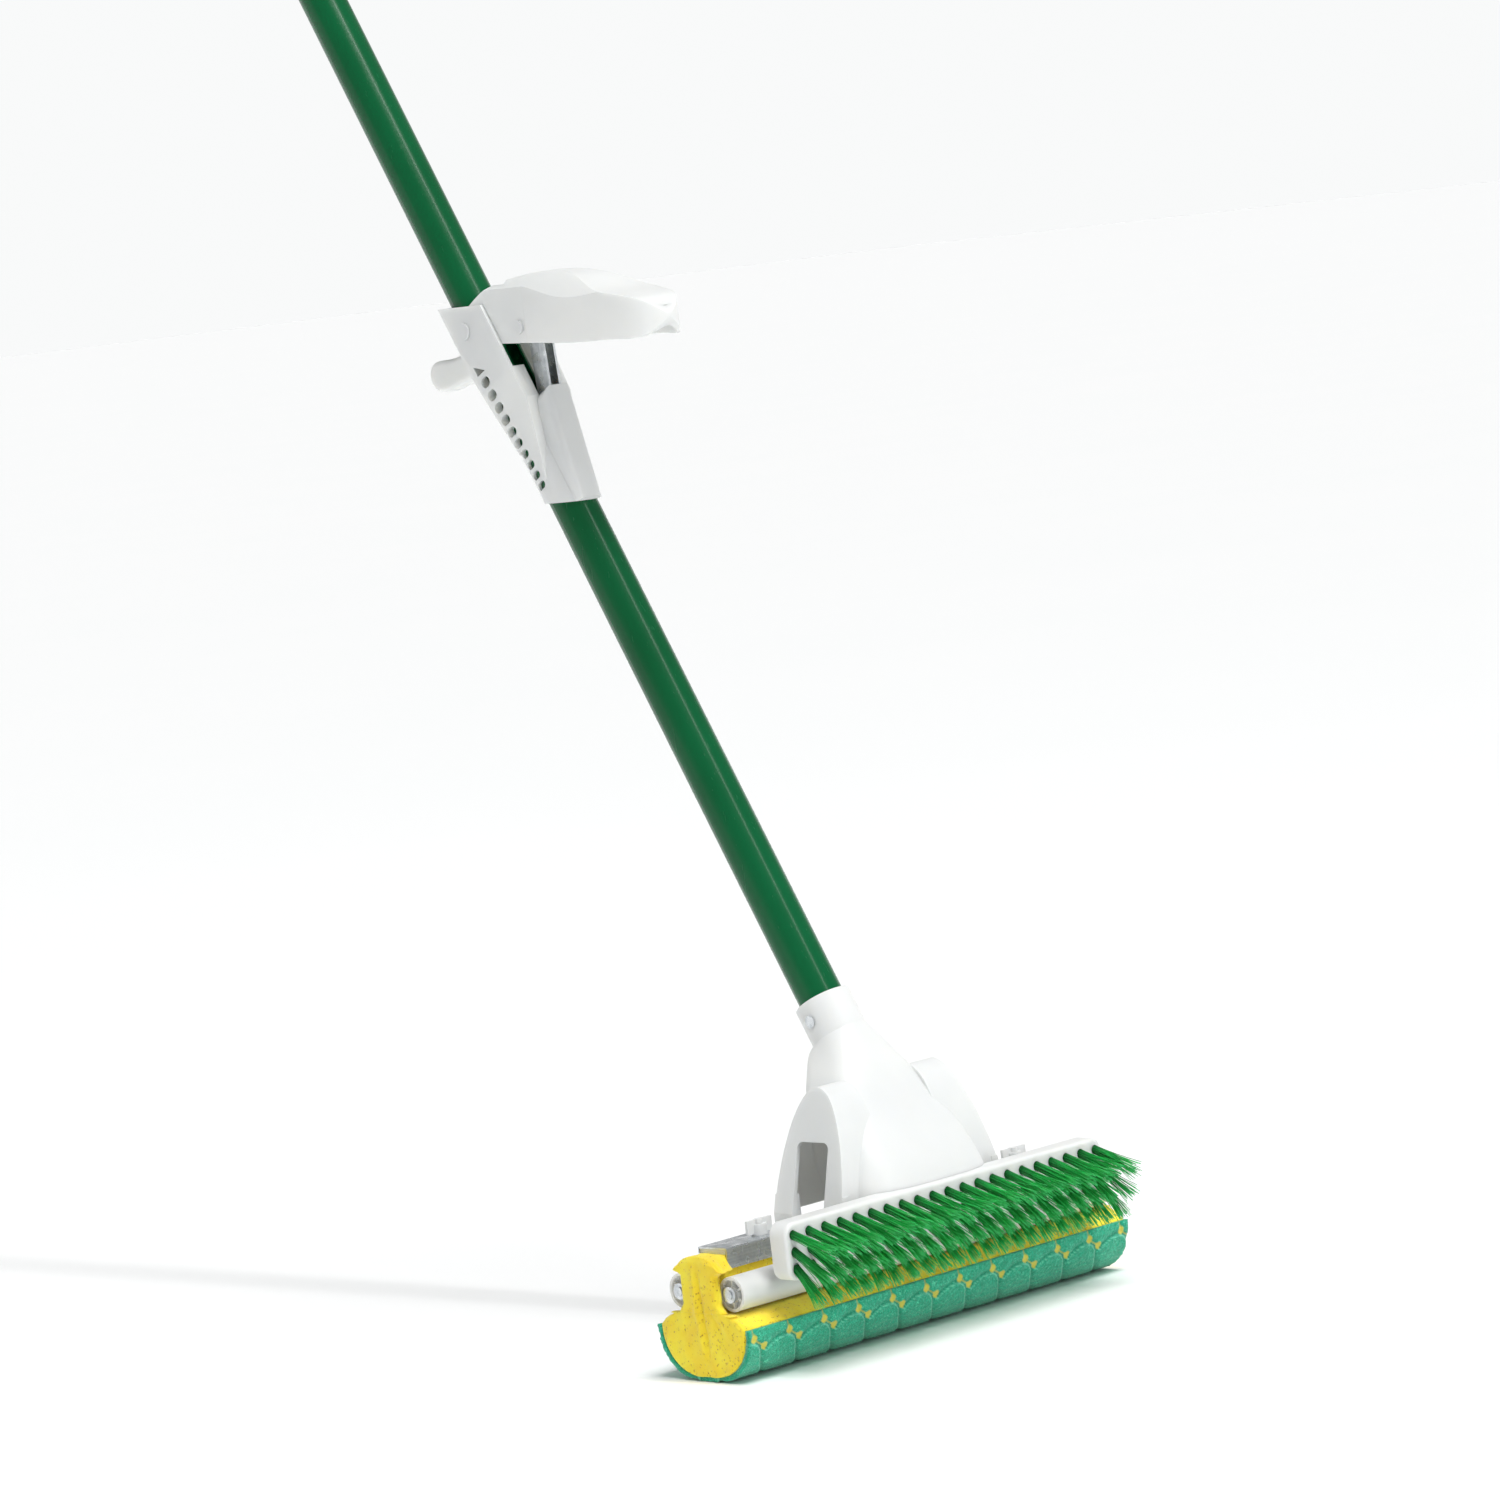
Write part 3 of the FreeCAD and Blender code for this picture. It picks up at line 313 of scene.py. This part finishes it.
def foam_finish():
    """Cellulose foam, foamed and sawn: open pores of a millimetre or two, some of them deep and darkened
    with painted shade, over a fine felt of cell walls that scatters the light."""
    material, tree, shader, place = finish_of("yellow_cellulose_foam", Roughness=0.95,
                                              Specular_IOR_Level=0.15, Sheen_Weight=0.25, Sheen_Roughness=0.6,
                                              Subsurface_Weight=0.12, Subsurface_Scale=0.003)
    wander = put(tree, "TexNoise", {"Vector": place, "Scale": 260.0, "Detail": 3.0})["Color"]
    moved = put(tree, "Mix", {0: 0.0016, 4: place, 5: wander}, data_type="VECTOR")[1]
    cells = put(tree, "TexVoronoi", {"Vector": moved, "Scale": 1 / pore_size, "Randomness": 1.0})["Distance"]
    shaded_pits = put(tree, "MapRange", {0: cells, 1: 0.12, 2: 0.42, 3: 1.0, 4: 0.0})[0]
    rare = put(tree, "TexNoise", {"Vector": place, "Scale": 420.0, "Detail": 2.0})["Fac"]
    chosen = put(tree, "MapRange", {0: rare, 1: 0.5, 2: 0.62, 3: 0.0, 4: 1.0})[0]
    deep = put(tree, "Math", {0: shaded_pits, 1: chosen}, operation="MULTIPLY")[0]
    fine = put(tree, "TexNoise", {"Vector": place, "Scale": 2400.0, "Detail": 4.0})["Fac"]
    broad = put(tree, "TexNoise", {"Vector": place, "Scale": 60.0, "Detail": 2.0})["Fac"]
    amount = put(tree, "MapRange", {0: broad, 1: 0.3, 2: 0.7, 3: 0.0, 4: 1.0})[0]
    colour = put(tree, "Mix", {0: amount, 6: paint(foam_yellow), 7: paint(foam_deep)}, data_type="RGBA")[2]
    amount = put(tree, "MapRange", {0: fine, 1: 0.35, 2: 0.75, 3: 0.0, 4: 0.35})[0]
    colour = put(tree, "Mix", {0: amount, 6: colour, 7: paint(foam_deep)}, data_type="RGBA")[2]
    # painted shade: the chosen deep pits are darkened to a deeper orange-yellow
    colour = put(tree, "Mix", {0: deep, 6: colour, 7: paint(foam_pore_shade)}, data_type="RGBA")[2]
    tree.links.new(colour, shader.inputs["Base Color"])
    sunk = put(tree, "Math", {0: deep, 1: -1.0}, operation="MULTIPLY")[0]
    relief = put(tree, "Math", {0: fine, 1: 0.35, 2: sunk}, operation="MULTIPLY_ADD")[0]
    bump = put(tree, "Bump", {"Height": relief, "Strength": 0.7, "Distance": 0.0008})[0]
    tree.links.new(bump, shader.inputs["Normal"])
    return material


foam = foam_finish()
near_end = np.array([0.0, 0.3, 0.6, 1.0, 1.5, 2.2, 3.0, 4.0, 5.0, 6.0, 7.5, 9.0, 11.0, 12.5, 14.0]) * mm
middle = np.linspace(-(foam_end - 15.5 * mm), foam_end - 15.5 * mm, 175)
along = np.concatenate([near_end - foam_end, middle, foam_end - near_end[::-1]])
sponge = block_skin("sponge_foam_body", shape_body, along, np.linspace(0, 1, 56), np.linspace(-1, 1, 49))
neck = block_skin("sponge_foam_neck", shape_neck, along, np.linspace(0, 1, 36), np.linspace(-1, 1, 29))
for piece, node in ((sponge, "sponge_body"), (neck, "sponge_neck")):
    piece.data.materials.append(foam)
    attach(piece, "carrier")
    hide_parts(node)
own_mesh(sponge)


# ---------------------------------------------------------------- scrub pad
# A sheet of green scouring fleece, glued round the underside. It is pressed into overlapping leaves,
# and where the press bites through at the leaf corners the yellow sponge shows.
pad_thickness = 3.0 * mm
leaf_pitch = 25.7 * mm
leaf_start = -142.0 * mm
leaf_depth = 1.3 * mm
# The pale fleece colour serves both the pale fibre ends and the painted highlight on the leaf edges.
pad_green, pad_dark, pad_pale_fibre_and_highlight, pad_spot = "#16C89C", "#0A9270", "#90F0D0", "#E6D43E"
leaf_line = np.array([(9.0, 12.5), (12.0, 10.2), (15.0, 8.4), (18.5, 7.3), (22.0, 6.7), (25.5, 7.2),
                      (28.5, 8.8), (30.5, 11.5), (31.6, 15.0), (32.7, 18.5), (34.2, 22.0), (36.5, 26.0),
                      (40.5, 32.5), (46.0, 42.0), (53.0, 52.0)]) * mm
short_line = np.array([(-0.8, -2.0), (-0.6, 1.0), (-0.2, 3.5), (0.0, 5.5)]) * mm
link_line = np.array([(0.0, 5.5), (3.8, 8.2), (7.7, 10.5)]) * mm
bite_a, bite_b = (0.0, 5.3 * mm), (7.7 * mm, 10.4 * mm)
bite_width, bite_height = 2.3 * mm, 2.6 * mm


def resample(line, gap):
    """The polyline as points at even gaps along it."""
    run = np.concatenate([[0], np.cumsum(np.hypot(*np.diff(line, axis=0).T))])
    at = np.arange(0, run[-1], gap)
    return np.stack([np.interp(at, run, line[:, k]) for k in (0, 1)], -1)


def press_marks(x, s):
    """For points x along and s round the pad from its edge: how deep the press goes, how near a raised
    leaf edge is, and how near a bite. Each is 0 to 1, from the distance to the nearest printed line."""
    home = np.round((x - leaf_start) / leaf_pitch)
    local = x - leaf_start - home * leaf_pitch
    at = np.stack([local, s], -1).reshape(-1, 1, 2)
    leaf = resample(leaf_line, 0.8 * mm)
    ahead = np.gradient(leaf, axis=0)
    left = np.stack([-ahead[:, 1], ahead[:, 0]], -1)
    left /= np.linalg.norm(left, axis=1)[:, None]
    nearest = np.full(at.shape[0], 1.0)
    side = np.zeros(at.shape[0])
    for shift in (-2, -1, 0, 1):
        gap = at - (leaf + (shift * leaf_pitch, 0.0))
        far = np.linalg.norm(gap, axis=2)
        best = far.argmin(1)
        here = far[np.arange(len(best)), best]
        across = (gap[np.arange(len(best)), best] * left[best]).sum(1)
        closer = here < nearest
        nearest = np.where(closer, here, nearest)
        side = np.where(closer, across, side)
    groove = np.where(side > 0, np.exp(-(nearest / (0.7 * mm)) ** 2), np.exp(-(nearest / (2.6 * mm)) ** 1.6))
    edge = np.exp(-((nearest - 0.9 * mm) / (0.55 * mm)) ** 2) * (side > 0)
    other = np.full(at.shape[0], 1.0)
    for line in (short_line, link_line):
        points = resample(line, 0.6 * mm)
        for shift in (-1, 0, 1):
            far = np.linalg.norm(at - (points + (shift * leaf_pitch, 0.0)), axis=2).min(1)
            other = np.minimum(other, far)
    groove = np.maximum(groove, np.exp(-(other / (1.3 * mm)) ** 2))
    bite = np.zeros(at.shape[0])
    for bx, bs in (bite_a, bite_b):
        for shift in (-1, 0, 1):
            gap = at[:, 0] - (bx + shift * leaf_pitch, bs)
            far = np.hypot(gap[:, 0] / bite_width, gap[:, 1] / bite_height)
            bite = np.maximum(bite, np.exp(-far ** 3))
    bite = np.maximum(bite, 0.6 * np.exp(-(other / (0.8 * mm)) ** 2))
    return [mark.reshape(x.shape) for mark in (groove, edge, bite)]


def pad_section(s):
    """Place and outward direction at distance s round the pad's outer face, from the front top edge."""
    rise, bend = shoulder_z - round_r, round_r * math.pi / 2
    half_way = rise + bend + foot_half
    turned = np.where(s > half_way, 2 * half_way - s, s)
    angle = np.clip((turned - rise) / round_r, 0, math.pi / 2)
    y = -(foot_half + round_r * np.cos(angle)) + np.clip(turned - rise - bend, 0, foot_half)
    z = np.where(turned < rise, shoulder_z - turned, round_r - round_r * np.sin(angle))
    mirror = np.where(s > half_way, -1.0, 1.0)
    return y * mirror, z, -np.cos(angle) * mirror, -np.sin(angle)


def shape_pad(x, s, deep):
    """The point on the section at s, moved in along its normal by the press marks on the face (deep 0)
    or by the fleece's thickness (deep 1), with a fibrous unevenness."""
    y, z, out_y, out_z = pad_section(s)
    half_way = pad_girth / 2
    groove, edge, bite = press_marks(x, np.where(s > half_way, pad_girth - s, s))
    fleece = 0.22 * mm * ruffle(x, s, s, 2.3 * mm) + 0.15 * mm * ruffle(s, x, s, 1.1 * mm)
    press = -leaf_depth * np.maximum(groove, 0.8 * bite) + 0.25 * mm * edge + fleece - 0.2 * mm
    press = np.minimum(press, np.where(z < 1.2 * mm, 0.0, 1.0))
    ragged = 0.35 * mm * ruffle(s, s, x, 3.1 * mm)
    move = press * (1 - deep) - pad_thickness * deep
    end = hump(np.abs(x), foam_end, 0.2 * mm)
    return x + np.sign(x) * end * ragged, y + out_y * move, z + out_z * move


def fleece_finish():
    """Scouring fleece, an airlaid mat of nylon fibre: short light and dark fibre ends in every direction,
    darker in the press grooves as painted shade, with a painted highlight along each raised leaf edge,
    and yellow where the press has bitten through."""
    material, tree, shader, place = finish_of("green_scouring_fleece", Roughness=0.7, Specular_IOR_Level=0.35,
                                              Sheen_Weight=0.3, Sheen_Roughness=0.5)
    fibre = put(tree, "TexNoise", {"Vector": place, "Scale": 760.0, "Detail": 5.0, "Distortion": 2.0})["Fac"]
    clump = put(tree, "TexNoise", {"Vector": place, "Scale": 230.0, "Detail": 3.0, "Distortion": 1.0})["Fac"]
    edge = put(tree, "Attribute", {}, attribute_name="leaf_edge_highlight")["Fac"]
    groove = put(tree, "Attribute", {}, attribute_name="leaf_groove_shade")["Fac"]
    bite = put(tree, "Attribute", {}, attribute_name="leaf_bite")["Fac"]
    amount = put(tree, "MapRange", {0: fibre, 1: 0.38, 2: 0.66, 3: 0.0, 4: 1.0})[0]
    colour = put(tree, "Mix", {0: amount, 6: paint(pad_dark), 7: paint(pad_green)}, data_type="RGBA")[2]
    amount = put(tree, "MapRange", {0: fibre, 1: 0.56, 2: 0.72, 3: 0.0, 4: 0.6})[0]
    colour = put(tree, "Mix", {0: amount, 6: colour, 7: paint(pad_pale_fibre_and_highlight)}, data_type="RGBA")[2]
    amount = put(tree, "MapRange", {0: clump, 1: 0.45, 2: 0.7, 3: 0.0, 4: 0.45})[0]
    colour = put(tree, "Mix", {0: amount, 6: colour, 7: paint(pad_dark)}, data_type="RGBA")[2]
    # painted shade: darker green along the press grooves
    amount = put(tree, "MapRange", {0: groove, 1: 0.35, 2: 1.0, 3: 0.0, 4: 0.5})[0]
    colour = put(tree, "Mix", {0: amount, 6: colour, 7: paint("#087C5E")}, data_type="RGBA")[2]
    # painted highlight: paler along each raised leaf edge
    amount = put(tree, "MapRange", {0: edge, 1: 0.3, 2: 1.0, 3: 0.0, 4: 0.55})[0]
    colour = put(tree, "Mix", {0: amount, 6: colour, 7: paint(pad_pale_fibre_and_highlight)}, data_type="RGBA")[2]
    amount = put(tree, "MapRange", {0: bite, 1: 0.3, 2: 0.62, 3: 0.0, 4: 0.85})[0]
    colour = put(tree, "Mix", {0: amount, 6: colour, 7: paint(pad_spot)}, data_type="RGBA")[2]
    tree.links.new(colour, shader.inputs["Base Color"])
    relief = put(tree, "Math", {0: fibre, 1: clump}, operation="ADD")[0]
    bump = put(tree, "Bump", {"Height": relief, "Strength": 0.8, "Distance": 0.0006})[0]
    tree.links.new(bump, shader.inputs["Normal"])
    return material


pad_girth = 2 * (shoulder_z - round_r + round_r * math.pi / 2 + foot_half)
pad = block_skin("leaf_pressed_pad", shape_pad, np.linspace(-foam_end, foam_end, 285),
                 np.linspace(0, pad_girth, 105), np.array([0.0, 0.4, 1.0]))
places = np.empty(len(pad.data.vertices) * 3)
pad.data.vertices.foreach_get("co", places)
places = places.reshape(-1, 3)
side_turn = np.arctan2(np.abs(places[:, 1]) - foot_half, round_r - places[:, 2])
round_s = np.where(places[:, 2] > round_r, shoulder_z - places[:, 2],
                   shoulder_z - round_r + round_r * (math.pi / 2 - np.clip(side_turn, 0, math.pi / 2)))
round_s = np.where(np.abs(places[:, 1]) < foot_half, pad_girth / 2 - np.abs(places[:, 1]), round_s)
# The groove and edge marks go to the fleece finish as painted shade and painted highlight.
for attribute, mark in zip(("leaf_groove_shade", "leaf_edge_highlight", "leaf_bite"), press_marks(places[:, 0], round_s)):
    pad.data.attributes.new(attribute, "FLOAT", "POINT").data.foreach_set("value", mark.astype(np.float32))
pad.data.materials.append(fleece_finish())
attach(pad, "carrier")
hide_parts("scrub_pad")
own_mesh(pad)


# ---------------------------------------------------------------- steel hardware
# The channel, bracket, axles, link straps, rod and pins are zinc-plated mild steel, rolled or drawn.
# Rolling leaves faint lines along each piece, and the plating a pale, slightly cloudy shine.
def dress(material, slot, *nodes):
    """Gives CAD pieces their finish."""
    for name in nodes:
        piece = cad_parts[name]
        piece.data.materials.clear()
        piece.data.materials.append(material)


def plated_finish(name, grain):
    """Zinc plate. grain is the pattern's scale along X, Y and Z, least along the rolling."""
    material, tree, shader, place = finish_of(name, Metallic=1.0, Roughness=0.3)
    drawn = put(tree, "Mapping", {"Vector": place, "Scale": grain})[0]
    lines = put(tree, "TexNoise", {"Vector": drawn, "Scale": 1.0, "Detail": 4.0})["Fac"]
    cloud = put(tree, "TexNoise", {"Vector": place, "Scale": 170.0, "Detail": 3.0})["Fac"]
    amount = put(tree, "MapRange", {0: cloud, 1: 0.35, 2: 0.65, 3: 0.0, 4: 1.0})[0]
    colour = put(tree, "Mix", {0: amount, 6: paint("#D5D9DC"), 7: paint("#B4B9BE")}, data_type="RGBA")[2]
    amount = put(tree, "MapRange", {0: lines, 1: 0.3, 2: 0.75, 3: 0.0, 4: 0.5})[0]
    colour = put(tree, "Mix", {0: amount, 6: colour, 7: paint("#E8EBEC")}, data_type="RGBA")[2]
    tree.links.new(colour, shader.inputs["Base Color"])
    rough = put(tree, "MapRange", {0: cloud, 1: 0.3, 2: 0.7, 3: 0.2, 4: 0.42})[0]
    tree.links.new(rough, shader.inputs["Roughness"])
    bump = put(tree, "Bump", {"Height": lines, "Strength": 0.25, "Distance": 0.0003})[0]
    tree.links.new(bump, shader.inputs["Normal"])
    return material


dress(plated_finish("zinc_plated_strip", (12.0, 900.0, 900.0)), "plated_steel", "sponge_channel",
      "front_axle", "rear_axle", "push_nuts", "lift_bracket", "lift_pin", "rod_end_pin")
dress(plated_finish("zinc_plated_rod", (900.0, 700.0, 14.0)), "plated_steel", "link_strap_left",
      "link_strap_right", "pull_rod", "rod_head_pin", "rod_tongue", "swing_link_left", "swing_link_right",
      "sleeve_rivet", "brush_screws", "socket_screws")


# ---------------------------------------------------------------- white mouldings
# Head housing, brush block, lever housing, lever and end cap are injection-moulded white polypropylene.
# It is satin, a little cloudy in the light, with a fine spark-eroded grain and faint flow marks.
def moulded_finish(name, light, shade, roughness):
    material, tree, shader, place = finish_of(name, Roughness=roughness, Specular_IOR_Level=0.4, IOR=1.49,
                                              Subsurface_Weight=0.5, Subsurface_Scale=0.008,
                                              Subsurface_Radius=(1.0, 0.94, 0.84))
    flow = put(tree, "TexNoise", {"Vector": place, "Scale": 14.0, "Detail": 2.0, "Distortion": 0.6})["Fac"]
    grain = put(tree, "TexNoise", {"Vector": place, "Scale": 1500.0, "Detail": 2.0})["Fac"]
    amount = put(tree, "MapRange", {0: flow, 1: 0.35, 2: 0.7, 3: 0.0, 4: 1.0})[0]
    colour = put(tree, "Mix", {0: amount, 6: paint(light), 7: paint(shade)}, data_type="RGBA")[2]
    tree.links.new(colour, shader.inputs["Base Color"])
    rough = put(tree, "MapRange", {0: flow, 1: 0.3, 2: 0.7, 3: roughness - 0.05, 4: roughness + 0.08})[0]
    tree.links.new(rough, shader.inputs["Roughness"])
    bump = put(tree, "Bump", {"Height": grain, "Strength": 0.12, "Distance": 0.0002})[0]
    tree.links.new(bump, shader.inputs["Normal"])
    return material


white = moulded_finish("white_polypropylene", "#E9EAE8", "#E1E3E2", 0.36)
dress(white, "white_plastic", "head_housing", "brush_block", "lever_housing", "wring_lever", "handle_end_cap",
      "rod_guide_bush", "rod_head", "lever_pivot_pin", "lever_link_pin", "wing_nuts", "sponge_backing")
dress(moulded_finish("natural_polyethylene", "#E2E2DF", "#D6D7D4", 0.42), "roller_plastic",
      "front_roller_left", "front_roller_centre", "front_roller_right",
      "rear_roller_left", "rear_roller_centre", "rear_roller_right")


# ---------------------------------------------------------------- brush tufts
# Three rows of green polypropylene bristle, each tuft a bundle folded double and stapled in its hole.
# The bristles are drawn a little thick, and splay and cross towards their cut ends.
tuft_count = 21
tuft_pitch = 11.6 * mm
tuft_rows = ((6.6, 31.0, 17.0), (15.8, 28.0, 29.0), (25.0, 24.0, 43.0))
tuft_root_r = 2.2 * mm
tuft_sink = 2.0 * mm
bristle_r = 0.27 * mm
bristles_each = 46
bristle_stations = 5
block_low, block_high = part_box("brush_block")


def tuft_bristles(drop, length, tilt, order):
    """Each bristle is a thin three-sided cone: its centre line leaves the hole along the tuft's
    direction and drifts outwards and sideways with the square of the way along, and its radius
    shrinks to two thirds at the tip. Returns points (bristle, station, side, 3)."""
    count = tuft_count * bristles_each
    lean = math.radians(tilt)
    way = np.array([0.0, -math.cos(lean), -math.sin(lean)])
    over = np.array([0.0, -math.sin(lean), math.cos(lean)])
    side = np.array([1.0, 0.0, 0.0])
    tuft = np.repeat(np.arange(tuft_count), bristles_each)
    root_x = (tuft - (tuft_count - 1) / 2) * tuft_pitch
    turn = np.tile(np.arange(bristles_each) * 2.39996, tuft_count)
    ring = np.tile(np.sqrt((np.arange(bristles_each) + 0.5) / bristles_each), tuft_count)
    start = tuft_root_r * ring[:, None] * np.stack([np.cos(turn), np.sin(turn)], -1)
    splay = order.normal(1.0, 0.35, (count, 1)) * start * 0.95 + order.normal(0, 0.95 * mm, (count, 2))
    lot = order.normal(0, 0.6 * mm, (tuft_count, 2))[tuft]
    lot[:, 1] -= 1.0 * mm
    reach = (length * mm + tuft_sink) * order.normal(1.0, 0.025, count)
    t = np.linspace(0, 1, bristle_stations)[None, :, None]
    plane = start[:, None, :] + (splay + lot)[:, None, :] * t ** 2
    centre = (np.array([0.0, block_low.y, block_high.z - drop * mm]) - way * tuft_sink
              + root_x[:, None, None] * side + way * reach[:, None, None] * t
              + plane[..., :1] * side + plane[..., 1:] * over)
    spin = order.uniform(0, 2 * math.pi, count)[:, None] + np.arange(3) * 2 * math.pi / 3
    slim = bristle_r * (1 - 0.33 * t[..., None])
    round_it = np.cos(spin)[..., None] * side + np.sin(spin)[..., None] * over
    return centre[:, :, None, :] + slim * round_it[:, None, :, :]


def bristle_mesh(name, points):
    """Three-sided tubes through the stations, with a closed tip."""
    count, stations, sides, _ = points.shape
    index = np.arange(count * stations * sides).reshape(count, stations, sides)
    ahead = np.roll(index, -1, axis=2)
    quads = np.stack([index[:, :-1], ahead[:, :-1], ahead[:, 1:], index[:, 1:]], -1).reshape(-1, 4)
    caps = np.concatenate([index[:, -1], index[:, 0, ::-1]])
    mesh = bpy.data.meshes.new(name)
    mesh.from_pydata(points.reshape(-1, 3), [], quads.tolist() + caps.tolist())
    mesh.shade_smooth()
    order = np.random.default_rng(5)
    tone = np.repeat(order.uniform(0, 1, count), stations * sides)
    share = np.tile(np.repeat(np.linspace(0, 1, stations), sides), count)
    mesh.attributes.new("bristle_tone", "FLOAT", "POINT").data.foreach_set("value", tone.astype(np.float32))
    mesh.attributes.new("bristle_share", "FLOAT", "POINT").data.foreach_set("value", share.astype(np.float32))
    piece = bpy.data.objects.new(name, mesh)
    bpy.context.scene.collection.objects.link(piece)
    return piece


def bristle_finish():
    """Extruded polypropylene filament: clean green, glossy along its length, darker deep in the tuft as
    painted shade and paler at the tips as painted light, with each bristle a slightly different green."""
    material, tree, shader, place = finish_of("green_polypropylene_bristle", Roughness=0.34,
                                              Specular_IOR_Level=0.45, IOR=1.49)
    tone = put(tree, "Attribute", {}, attribute_name="bristle_tone")["Fac"]
    share = put(tree, "Attribute", {}, attribute_name="bristle_share")["Fac"]
    streak = put(tree, "TexNoise", {"Vector": place, "Scale": 900.0, "Detail": 2.0})["Fac"]
    colour = put(tree, "Mix", {0: tone, 6: paint("#14A83E"), 7: paint("#2ED060")}, data_type="RGBA")[2]
    # painted shade: darker towards the root, deep in the tuft
    amount = put(tree, "MapRange", {0: share, 1: 0.0, 2: 0.4, 3: 0.75, 4: 0.0})[0]
    colour = put(tree, "Mix", {0: amount, 6: colour, 7: paint("#005A26")}, data_type="RGBA")[2]
    # painted light: paler at the tips
    amount = put(tree, "MapRange", {0: share, 1: 0.9, 2: 1.0, 3: 0.0, 4: 0.35})[0]
    colour = put(tree, "Mix", {0: amount, 6: colour, 7: paint("#62E49A")}, data_type="RGBA")[2]
    amount = put(tree, "MapRange", {0: streak, 1: 0.4, 2: 0.7, 3: 0.0, 4: 0.3})[0]
    colour = put(tree, "Mix", {0: amount, 6: colour, 7: paint("#008A3E")}, data_type="RGBA")[2]
    tree.links.new(colour, shader.inputs["Base Color"])
    bump = put(tree, "Bump", {"Height": streak, "Strength": 0.2, "Distance": 0.0001})[0]
    tree.links.new(bump, shader.inputs["Normal"])
    return material


bristle_green = bristle_finish()
chance = np.random.default_rng(11)
for row, (drop, length, tilt) in zip(("top", "middle", "bottom"), tuft_rows):
    piece = bristle_mesh("bristles_" + row, tuft_bristles(drop, length, tilt, chance))
    piece.data.materials.append(bristle_green)
    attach(piece, "handle_frame")
    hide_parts("brush_tufts_" + row)


# ---------------------------------------------------------------- handle tube
# Thin-walled steel tube, powder coated bottle green: a deep colour under a smooth glossy skin, with the
# slight orange peel of baked powder and a few hair scratches from storage.
def coated_finish():
    material, tree, shader, place = finish_of("green_powder_coat", Roughness=0.26, Specular_IOR_Level=0.28)
    peel = put(tree, "TexNoise", {"Vector": place, "Scale": 320.0, "Detail": 2.0})["Fac"]
    tint = put(tree, "TexNoise", {"Vector": place, "Scale": 9.0, "Detail": 2.0})["Fac"]
    drawn = put(tree, "Mapping", {"Vector": place, "Scale": (500.0, 300.0, 9.0)})[0]
    scratch = put(tree, "TexNoise", {"Vector": drawn, "Scale": 1.0, "Detail": 2.0})["Fac"]
    amount = put(tree, "MapRange", {0: tint, 1: 0.35, 2: 0.65, 3: 0.0, 4: 1.0})[0]
    colour = put(tree, "Mix", {0: amount, 6: paint("#005C33"), 7: paint("#00512B")}, data_type="RGBA")[2]
    amount = put(tree, "MapRange", {0: scratch, 1: 0.72, 2: 0.8, 3: 0.0, 4: 0.35})[0]
    colour = put(tree, "Mix", {0: amount, 6: colour, 7: paint("#1C7A4C")}, data_type="RGBA")[2]
    tree.links.new(colour, shader.inputs["Base Color"])
    rough = put(tree, "MapRange", {0: scratch, 1: 0.6, 2: 0.8, 3: 0.22, 4: 0.34})[0]
    tree.links.new(rough, shader.inputs["Roughness"])
    bump = put(tree, "Bump", {"Height": peel, "Strength": 0.08, "Distance": 0.0004})[0]
    tree.links.new(bump, shader.inputs["Normal"])
    return material


dress(coated_finish(), "coated_steel", "handle_tube")
